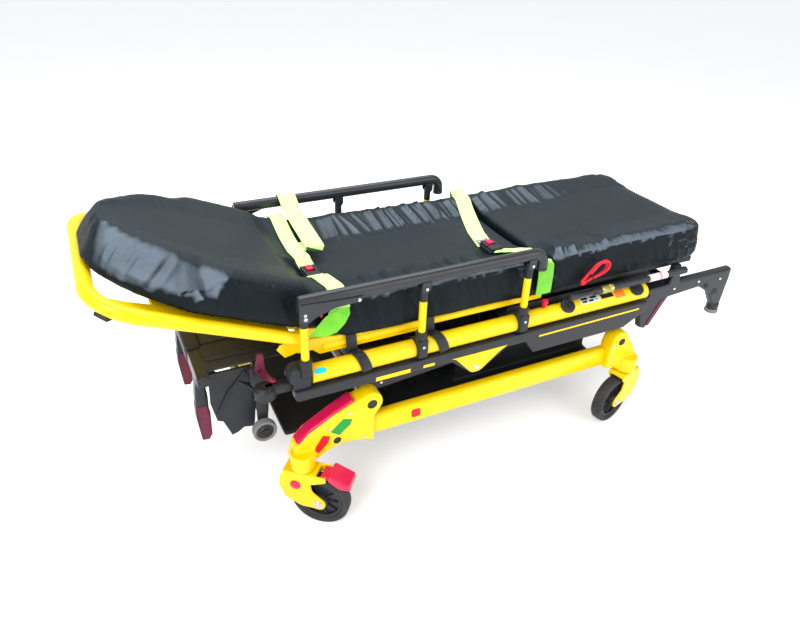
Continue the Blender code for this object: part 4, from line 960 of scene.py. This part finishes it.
def plump(name, bm, most, voxel=0.007):
    """Stuffs a cushion: an even mesh, cloth blown up by inner pressure, no point moved beyond most."""
    mesh = bpy.data.meshes.new(name)
    bm.to_mesh(mesh)
    bm.free()
    thing = bpy.data.objects.new(name, mesh)
    bpy.context.scene.collection.objects.link(thing)
    remesh = thing.modifiers.new("even", "REMESH")
    remesh.mode = "VOXEL"
    remesh.voxel_size = voxel
    soften = thing.modifiers.new("soften", "SMOOTH")
    soften.iterations = 3
    even = evaluated_copy(thing)
    thing.modifiers.clear()
    thing.data = even
    start = [v.co.copy() for v in even.vertices]
    cloth = thing.modifiers.new("stuffing", "CLOTH")
    cloth.settings.quality = 5
    cloth.settings.use_pressure = True
    cloth.settings.uniform_pressure_force = 4.0
    cloth.settings.effector_weights.gravity = 0.0
    cloth.settings.tension_stiffness = 25
    cloth.settings.compression_stiffness = 25
    cloth.settings.bending_stiffness = 0.4
    for step in range(1, 21):
        bpy.context.scene.frame_set(step)
    blown = evaluated_copy(thing)
    moves = [b.co - a for a, b in zip(start, blown.vertices)]
    thing.modifiers.clear()
    for vertex, was, move in zip(even.vertices, start, moves):
        vertex.co = was + (move * (most / move.length) if move.length > most else move)
    bpy.data.meshes.remove(blown)
    bpy.context.scene.frame_set(1)
    finer = thing.modifiers.new("finer", "SUBSURF")
    finer.levels = finer.render_levels = 1
    fine = evaluated_copy(thing)
    thing.modifiers.clear()
    thing.data = fine
    return thing


def crease(point, start, end, width, depth):
    """How far a fold along the line from start to end moves a point inwards."""
    line = end - start
    along = min(max((point - start).dot(line) / line.length_squared, 0.0), 1.0)
    away = (point - start - line * along).length
    fade = math.sin(math.pi * min(max(along, 0.04), 0.96)) ** 0.5
    return depth * fade * (math.exp(-(away / width) ** 2)
        - 0.55 * math.exp(-((away - 1.7 * width) / width) ** 2))


def wrinkle(thing, folds, slack):
    """Sculpts the cover: soft waves, gathers down the bolsters, dents behind the posts, and folds."""
    mesh = thing.data
    moves = []
    for vertex in mesh.vertices:
        p, n = vertex.co, vertex.normal
        move = 0.0022 * noise.noise(p * 9.0)
        width = abs(p.y)
        gather = ease(width, 0.085, 0.125) * (1 - ease(width, 0.205, 0.24)) * max(n.z, 0.0)
        if gather > 0:
            sway = p.x + 0.1 * (width - 0.15) + 0.012 * noise.noise(Vector((p.x * 6, p.y * 9, 3)))
            ridge = 1 - abs(noise.noise(Vector((sway * 21, p.y * 2.5, 0))))
            ridge_fine = 1 - abs(noise.noise(Vector((sway * 47, p.y * 4.0, 7))))
            move += gather * slack(p.x) * (0.0085 * (ridge ** 5 - 0.45) + 0.003 * (ridge_fine ** 4 - 0.4))
        if width > 0.235 and abs(n.y) > 0.5:
            for post in POST_X[1:]:
                move -= 0.0065 * math.exp(-((p.x - post) / 0.02) ** 2)
            pull = 1 - abs(noise.noise(Vector((p.x * 26 + p.z * 7, 2, p.z * 6))))
            move += 0.0034 * (pull ** 6 - 0.5) * ease(p.z, 0.47, 0.5)
        for start, end, size, depth in folds:
            move -= crease(p, start, end, size, depth)
        moves.append(move)
    for vertex, move, direction in zip(mesh.vertices, moves, [v.normal.copy() for v in mesh.vertices]):
        vertex.co += direction * move
    for vertex in mesh.vertices:
        vertex.co.y = min(max(vertex.co.y, -0.26), 0.26)


def press_in(thing, low, high, slope=1.0):
    """Dishes the cover under a buckle, with sides that rise gently all round it."""
    for vertex in thing.data.vertices:
        p = vertex.co
        away = math.hypot(max(low.x - p.x, p.x - high.x, 0), max(low.y - p.y, p.y - high.y, 0))
        p.z = min(p.z, low.z + 0.003 + slope * away)


def back_point(s, y, height):
    """A point of the back cushion: s up the slope from its hinge, height above the panel's plane."""
    return BACK @ Vector((-s, y, height))


plan = [(0.0, 0.252), (0.262, 0.252), (0.3, 0.242), (0.37, 0.206), (0.415, 0.17), (0.44, 0.142),
    (0.455, 0.118), (0.466, 0.09), (0.472, 0.06)]
inset = [(0.0, 0.016), (0.222, 0.016), (0.262, 0.05), (0.4, 0.054), (0.44, 0.048), (0.472, 0.03)]
stations = []
for s in (0.472, 0.468, 0.46, 0.447, 0.43, 0.408, 0.38, 0.35, 0.318, 0.288, 0.262, 0.245, 0.228, 0.215,
        0.19, 0.15, 0.11, 0.075, 0.045):
    lower = back_point(s, 0, 0.0195)
    upper = back_point(s - 0.022 * ease(s, 0.3, 0.46), 0, 0.116)
    half = read_off(plan, s)
    stations.append(((lower.x, lower.z), (upper.x, upper.z), half, half - read_off(inset, s), 0.12))
for x, lower_z, upper_x, upper_z, dip in ((-0.398, 0.528, -0.366, 0.6095, 0.16),
        (-0.362, 0.523, -0.33, 0.5955, 0.22), (-0.334, 0.508, -0.302, 0.5865, 0.29),
        (-0.312, 0.489, -0.28, 0.5815, 0.31), (-0.288, 0.4775, -0.26, 0.579, 0.29)):
    stations.append(((x, lower_z), (upper_x, upper_z), 0.2525, 0.237, dip))
stations += [((x, 0.4755), (x, 0.5785), 0.2535, 0.2385, 0.27) for x in (-0.24, -0.18, -0.12, -0.06, 0.0,
    0.06, 0.12, 0.18, 0.24, 0.27)]
stations += [((0.28, 0.4765), (0.281, 0.577), 0.252, 0.237, 0.26), ((0.285, 0.48), (0.286, 0.572), 0.248,
    0.233, 0.22)]
head_folds = [(back_point(0.222, -0.258, 0.105), back_point(0.262, -0.262, 0.03), 0.0075, 0.0055),
    (back_point(0.2, -0.246, 0.112), back_point(0.24, -0.262, 0.06), 0.006, 0.002),
    (back_point(0.318, -0.18, 0.112), back_point(0.352, -0.212, 0.05), 0.0085, 0.003),
    (back_point(0.372, -0.15, 0.112), back_point(0.4, -0.175, 0.05), 0.008, 0.0026),
    (back_point(0.41, -0.115, 0.112), back_point(0.432, -0.14, 0.055), 0.007, 0.0026),
    (back_point(0.222, 0.258, 0.105), back_point(0.262, 0.262, 0.03), 0.0065, 0.008),
    (back_point(0.33, 0.175, 0.11), back_point(0.352, 0.205, 0.06), 0.006, 0.005),
    (Vector((-0.292, -0.2, 0.583)), Vector((-0.292, 0.2, 0.583)), 0.01, 0.005)]
upper_cushion = plump("mattress_upper", cushion_form(stations), 0.006)
wrinkle(upper_cushion, head_folds, lambda x: ease(x, -0.42, -0.2) * 0.9 + 0.1)
head_low, head_high = (SHIFT.inverted() @ Vector(c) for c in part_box("buckle_head"))
foot_low, foot_high = (SHIFT.inverted() @ Vector(c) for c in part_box("buckle_foot"))
press_in(upper_cushion, head_low, head_high)
press_in(upper_cushion, foot_low, foot_high)

stations = [((0.2955, 0.48), (0.2945, 0.572), 0.248, 0.233, 0.22), ((0.3, 0.4765), (0.299, 0.577), 0.252,
    0.237, 0.25)]
stations += [((x, 0.4755), (x, 0.5785), 0.253, 0.238, 0.25 - 0.14 * ease(x, 0.45, 0.85))
    for x in (0.31, 0.36, 0.42, 0.48, 0.54, 0.6, 0.66, 0.72, 0.78)]
stations += [((x, 0.4755), (min(x, 0.856), 0.5775), half, half - 0.016, 0.1)
    for x, half in ((0.812, 0.25), (0.836, 0.242), (0.854, 0.228), (0.864, 0.21))]
stations.append(((0.868, 0.481), (0.861, 0.572), 0.198, 0.185, 0.08))
foot_folds = [(Vector((0.78, -0.2, 0.58)), Vector((0.862, -0.228, 0.555)), 0.006, 0.004),
    (Vector((0.8, 0.205, 0.58)), Vector((0.862, 0.228, 0.56)), 0.006, 0.004),
    (Vector((0.7, -0.262, 0.535)), Vector((0.86, -0.24, 0.522)), 0.007, 0.004)]
foot_cushion = plump("mattress_lower", cushion_form(stations), 0.006)
wrinkle(foot_cushion, foot_folds, lambda x: 1.0 - 0.85 * ease(x, 0.4, 0.62))

for cushion, nodes, bodies, span in ((upper_cushion, ("mattress_seat", "mattress_back"),
        ("litter", "backrest"), (-0.335, -0.45)), (foot_cushion, ("mattress_foot",),
        ("litter", "foot_section"), (0.3, 0.37))):
    cushion.data.transform(SHIFT)
    cushion.data.materials.clear()
    cushion.data.materials.append(vinyl.material)
    cushion.data.shade_smooth()
    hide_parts(*nodes)
    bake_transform(cushion)

# ---- Straps and buckles -------------------------------------------------------------------
# Two lime webbing straps laid over the cushions from the far side, each closed with a black
# buckle that has a red press button. Their tails go over the near edge, under the side rail.

# The webbing also gets a faint painted glow: its own colour is fed to the emission, though it is no lamp.
lime = Finish("lime_webbing", "lime_webbing", Roughness=0.75, Sheen_Weight=0.3, Emission_Strength=0.14)
lime_soil = lime.noise(30, 5)
lime_tone = lime.mix(lime_soil.above(0.35, 2), (0.1, 0.44, 0.002, 1), (0.16, 0.54, 0.005, 1))
# Painted light: faces of the webbing turned up are painted pale, a painted highlight where the lamps fall
# on it.
lime_facing = lime.node("ShaderNodeNewGeometry", output="Normal")
lime_painted_top_light = lime.node("ShaderNodeSeparateXYZ", {}, {0: lime_facing}, output="Z").above(0.35, 2.6)
lime_tone = lime.mix(lime_painted_top_light * (0.7 + 0.3 * lime_soil), lime_tone, (0.78, 1.0, 0.36, 1))
lime_rows = lime.node("ShaderNodeTexWave", {"bands_direction": "X"},
    {"Vector": lime.place, "Scale": 170.0, "Distortion": 0.4})
lime_cols = lime.node("ShaderNodeTexWave", {"bands_direction": "Y"},
    {"Vector": lime.place, "Scale": 190.0, "Distortion": 0.4})
lime.feed(Base_Color=lime_tone, Emission_Color=lime_tone)
lime.bump(lime_rows * lime_cols, 0.0006, 0.6)

bpy.context.view_layer.update()
HIGH = 0.9


def top_of(x, y):
    """Height of the cushions' tops under a point, in working lengths."""
    start = SHIFT @ Vector((x, y, HIGH))
    heights = []
    for cushion in (upper_cushion, foot_cushion):
        hit, where, _, _ = cushion.ray_cast(start, Vector((0, 0, -1)))
        if hit:
            heights.append(where.z)
    return max(heights) if heights else 0.56


def laid(points, lift=0.0016, steps=7):
    """A line of (x, y) points laid on the cushions, smoothed so that webbing bridges the wrinkles."""
    line = []
    for (x0, y0), (x1, y1) in pairwise(points):
        line += [(x0 + (x1 - x0) * k / steps, y0 + (y1 - y0) * k / steps) for k in range(steps)]
    line.append(points[-1])
    heights = [max(top_of(x + aside, y) for aside in (-0.022, -0.011, 0.0, 0.011, 0.022))
        for x, y in line]
    for _ in range(3):
        heights = [max(h, (heights[max(i - 1, 0)] + heights[min(i + 1, len(heights) - 1)]) / 2)
            for i, h in enumerate(heights)]
    return [(x, y, h + lift) for (x, y), h in zip(line, heights)]


def webbing(path, width=0.048, thick=0.0018, sizes=None):
    """Flat woven strap carried along a path that runs across the litter."""
    return sweep(path, rounded(thick, width, thick * 0.45, 2), upright=ALONG, nose=0, sizes=sizes)


head_mid = (head_low + head_high) / 2
foot_mid = (foot_low + foot_high) / 2

over_far = [(-0.307, 0.2585, 0.505), (-0.307, 0.261, 0.545), (-0.307, 0.26, 0.572),
    (-0.307, 0.254, 0.5855)]
far_run = laid([(-0.308, 0.236), (-0.316, 0.12), (-0.322, 0.02), (head_mid.x, head_high.y - 0.004)])
near_run = laid([(head_mid.x, head_low.y + 0.004), (-0.3, -0.19), (-0.302, -0.236)])
near_edge = [(-0.305, -0.256, 0.579), (-0.312, -0.2622, 0.568), (-0.322, -0.2622, 0.554)]
put("strap_head_far", webbing(over_far + far_run, 0.04), lime, "litter")
put("strap_head_near", webbing(near_run + near_edge, 0.042), lime, "litter")
leaf = [(-0.386, 0.518), (-0.37, 0.535), (-0.345, 0.561), (-0.315, 0.574), (-0.288, 0.576),
    (-0.286, 0.556), (-0.298, 0.533), (-0.318, 0.514), (-0.342, 0.508)]
flat = on_side(-0.262)
put("strap_head_tail", moved(sheet_of(leaf, 0.0018, 0.0006), flat), lime, "litter")

drape = [(-0.262, 0.2935, 0.598), (-0.262, 0.2945, 0.622), (-0.262, 0.288, 0.6355),
    (-0.262, 0.274, 0.6385), (-0.263, 0.26, 0.633), (-0.264, 0.23, 0.62), (-0.265, 0.19, 0.612),
    (-0.266, 0.13, 0.604), (-0.267, 0.07, 0.598), (-0.268, 0.03, 0.5945), (-0.269, 0.018, 0.5925),
    (-0.27, 0.015, 0.5895), (-0.272, 0.02, 0.587), (-0.278, 0.042, 0.586), (-0.288, 0.07, 0.586)]
fold = put("strap_head_drape", webbing(drape, 0.05), lime, "litter")
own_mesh(fold)

over_far = [(0.292, 0.2585, 0.5), (0.292, 0.261, 0.545), (0.291, 0.26, 0.57), (0.289, 0.254, 0.5835)]
far_run = laid([(0.286, 0.236), (0.246, 0.11), (0.206, 0.0), (foot_mid.x, foot_high.y - 0.004)])
near_run = laid([(foot_mid.x, foot_low.y + 0.004), (0.232, -0.19), (0.251, -0.236)])
near_edge = [(0.255, -0.256, 0.579), (0.258, -0.2622, 0.567), (0.26, -0.2628, 0.54),
    (0.261, -0.2622, 0.51), (0.261, -0.2618, 0.486)]
put("strap_foot_far", webbing(over_far + far_run, 0.048), lime, "litter")
put("strap_foot_near", webbing(near_run + near_edge, 0.048), lime, "litter")

for name, low, high in (("head", head_low, head_high), ("foot", foot_low, foot_high)):
    middle = (low + high) / 2
    size = high - low
    tongue = slab((0.03, 0.03, 0.003), 0.001, (middle.x, high.y + 0.006, low.z + 0.006), 2)
    slots = [slab((0.036, 0.005, 0.006), 0.0018, (middle.x, high.y + dy, low.z + 0.006), 2)
        for dy in (0.01, 0.022)]
    put("tongue_" + name, joined(tongue, *slots), steel, "litter")
    frames = [slab((size.x, size.y, 0.011), 0.004, (middle.x, middle.y, low.z + 0.0055), 4),
        slab((size.x * 0.86, 0.024, 0.008), 0.0034, (middle.x, low.y + 0.013, high.z - 0.0045), 4),
        slab((size.x * 0.86, 0.008, 0.008), 0.003, (middle.x, high.y - 0.0045, high.z - 0.0045), 4)]
    for cheek in (-1, 1):
        frames.append(slab((0.01, 0.0335, 0.008), 0.003, (middle.x + cheek * 0.015, middle.y + 0.012,
            high.z - 0.0045), 4))
    put("buckle_shell_" + name, joined(*frames), plastic, "litter", ["buckle_" + name])
    b_low, b_high = (Vector(c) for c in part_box("buckle_button_" + name))
    key = slab(b_high - b_low, 0.0022, (b_low + b_high) / 2, 4)
    put("buckle_key_" + name, key, crimson, "button_" + name, ["buckle_button_" + name], shifted=False)

# ---- Pole, knobs and labels ---------------------------------------------------------------
# The folded infusion pole lies along the near side: a black tube with a brass-coloured collar, a
# plain white sleeve and a hooked tip. Knobs, a moulded red pull loop and blank labels sit by it.

collar_brass = finish_like("collar_brass", "silver_trim", (0.36, 0.3, 0.08), (0.52, 0.44, 0.13), 0.3,
    Metallic=0.8)
white_label = finish_like("white_label", "label_print", (0.62, 0.62, 0.62), (0.75, 0.75, 0.74), 0.45)
black_label = finish_like("black_label", "label_print", (0.01, 0.01, 0.012), (0.018, 0.018, 0.02), 0.35)
rose_label = finish_like("rose_label", "label_print", (0.75, 0.22, 0.3), (0.85, 0.32, 0.4), 0.45)
pull_red = finish_like("pull_red", "crimson_plastic", (0.5, 0.004, 0.015), (0.68, 0.01, 0.03), 0.42)
amber_label = finish_like("amber_label", "label_print", (0.8, 0.16, 0.01), (0.9, 0.25, 0.02), 0.4)
low, high = (Vector(c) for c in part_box("iv_pole"))
pole_line = Matrix.Translation((0, (low.y + high.y) / 2,
    (low.z + high.z) / 2)) @ Matrix.Rotation(math.pi / 2, 4, "Y")
x0, x1 = low.x, high.x
tube = [(0.003, x0), (0.008, x0 + 0.002), (0.0095, x0 + 0.008), (0.0095, x0 + 0.03), (0.008, x0 + 0.033),
    (0.008, x0 + 0.08), (0.0098, x0 + 0.082), (0.011, x0 + 0.086), (0.011, x0 + 0.106),
    (0.0094, x0 + 0.108), (0.0094, x0 + 0.38), (0.011, x0 + 0.383), (0.011, x1 - 0.004),
    (0.0085, x1 - 0.001), (0.003, x1)]
put("pole_tube", moved(lathe(tube, 36), pole_line), black, "iv_pole", ["iv_pole"], shifted=False)
ring = [(0.0095, x0 + 0.11), (0.0118, x0 + 0.112), (0.0118, x0 + 0.132), (0.0106, x0 + 0.135),
    (0.0118, x0 + 0.138), (0.0118, x0 + 0.148), (0.0095, x0 + 0.15)]
put("pole_collar", moved(lathe(ring, 36, closed=True), pole_line), collar_brass, "iv_pole", shifted=False)
sleeve = [(0.0095, x0 + 0.282), (0.0104, x0 + 0.283), (0.0104, x0 + 0.348), (0.0095, x0 + 0.349)]
put("pole_sleeve", moved(lathe(sleeve, 36, closed=True), pole_line), white_label, "iv_pole",
    shifted=False)
band = [(0.01, x0 + 0.318), (0.0107, x0 + 0.3185), (0.0107, x0 + 0.3265), (0.01, x0 + 0.327)]
put("pole_band", moved(lathe(band, 36, closed=True), pole_line), rose_label, "iv_pole", shifted=False)

tilt = Vector((0, -0.55, 0.84)).normalized()
knobs = [turned([(0.012, -0.004), (0.02, 0.0), (0.021, 0.003), (0.02, 0.0085), (0.015, 0.0105),
    (0.006, 0.0095)], Vector((x, -LITTER_Y, LITTER_Z)) + tilt * 0.0225, tilt, 36) for x in (0.345, 0.59)]
knobs += [moved(block((0.005, 0.034, 0.006), 0.002, 3), aim(Vector((0.345, -LITTER_Y,
    LITTER_Z)) + tilt * 0.0335, tilt, 25))]
put("tube_knobs", joined(*knobs), plastic, "litter")
red_knob = lathe([(0.004, 0.0), (0.0048, 0.008), (0.008, 0.013), (0.0092, 0.019), (0.008, 0.025),
    (0.003, 0.028)], 28)
put("red_knob", moved(red_knob, aim((0.276, -0.2545, 0.4345), (0.1, -0.1, 1))), pull_red, "litter")


def tube_patch(x_low, x_high, angle_low, angle_high, out=0.0006):
    """A blank label wrapped over the upper face of the near litter tube."""
    bm = bmesh.new()
    rows = []
    for k in range(7):
        a = math.radians(angle_low + (angle_high - angle_low) * k / 6)
        reach = [TUBE_R - 0.0004, TUBE_R + out]
        rows.append([bm.verts.new((x, -LITTER_Y - r * math.cos(a), LITTER_Z + r * math.sin(a)))
            for r in reach for x in (x_low, x_high)])
    for a, b in pairwise(rows):
        bm.faces.new((a[2], a[3], b[3], b[2]))
        bm.faces.new((a[0], b[0], b[1], a[1]))
        bm.faces.new((a[0], a[2], b[2], b[0]))
        bm.faces.new((a[1], b[1], b[3], a[3]))
    bm.faces.new((rows[0][0], rows[0][1], rows[0][3], rows[0][2]))
    bm.faces.new((rows[-1][0], rows[-1][1], rows[-1][3], rows[-1][2]))
    return bm


put("white_patch", tube_patch(0.392, 0.458, 42, 98), white_label, "litter")
squares = [tube_patch(x, x + 0.016, 50, 64, 0.001) for x in (0.398, 0.42)]
squares += [tube_patch(x, x + 0.022, 70, 90, 0.001) for x in (0.397, 0.428)]
squares.append(tube_patch(0.464, 0.506, 48, 84))
put("black_patches", joined(*squares), black_label, "litter")
put("amber_patch", tube_patch(0.512, 0.546, 30, 88), amber_label, "litter")
put("blue_patch", tube_patch(0.44, 0.452, 52, 64, 0.001), cyan_label, "litter")

pull = [(0.384, -0.2655, 0.497), (0.406, -0.266, 0.521), (0.427, -0.266, 0.541), (0.446, -0.266, 0.546),
    (0.461, -0.266, 0.536), (0.459, -0.2665, 0.521), (0.443, -0.267, 0.511), (0.418, -0.2672, 0.504),
    (0.391, -0.2665, 0.494)]
smooth_pull = []
for k in range(len(pull) - 1):
    a, b, c, d = (Vector(pull[min(max(k + j, 0), len(pull) - 1)]) for j in (-1, 0, 1, 2))
    for step in range(5):
        t = step / 5
        smooth_pull.append(0.5 * (2 * b + (c - a) * t + (2 * a - 5 * b + 4 * c - d) * t * t
            + (3 * b - a - 3 * c + d) * t ** 3))
smooth_pull.append(Vector(pull[-1]))
loop_root = slab((0.016, 0.01, 0.014), 0.004, (0.389, -0.266, 0.494), 3)
second_pull = [p + Vector((0.004, -0.0052, 0.0045)) for p in smooth_pull[4:-4]]
strands = [sweep(line, circle(0.004, 14), upright=ACROSS, nose=0) for line in (smooth_pull, second_pull)]
put("pull_loop", joined(*strands, loop_root), pull_red, "litter")
piping = [(-0.356, -0.263, 0.564), (-0.352, -0.263, 0.58), (-0.34, -0.263, 0.587),
    (-0.32, -0.2625, 0.587), (-0.296, -0.2625, 0.5845), (-0.272, -0.262, 0.585)]
put("red_piping", sweep(piping, circle(0.0026, 10), upright=ACROSS, nose=0.001), pull_red, "litter")

# ---- View transform -----------------------------------------------------------------------
# Daylight colours are shown plainly.

bpy.context.scene.view_settings.view_transform = "Standard"
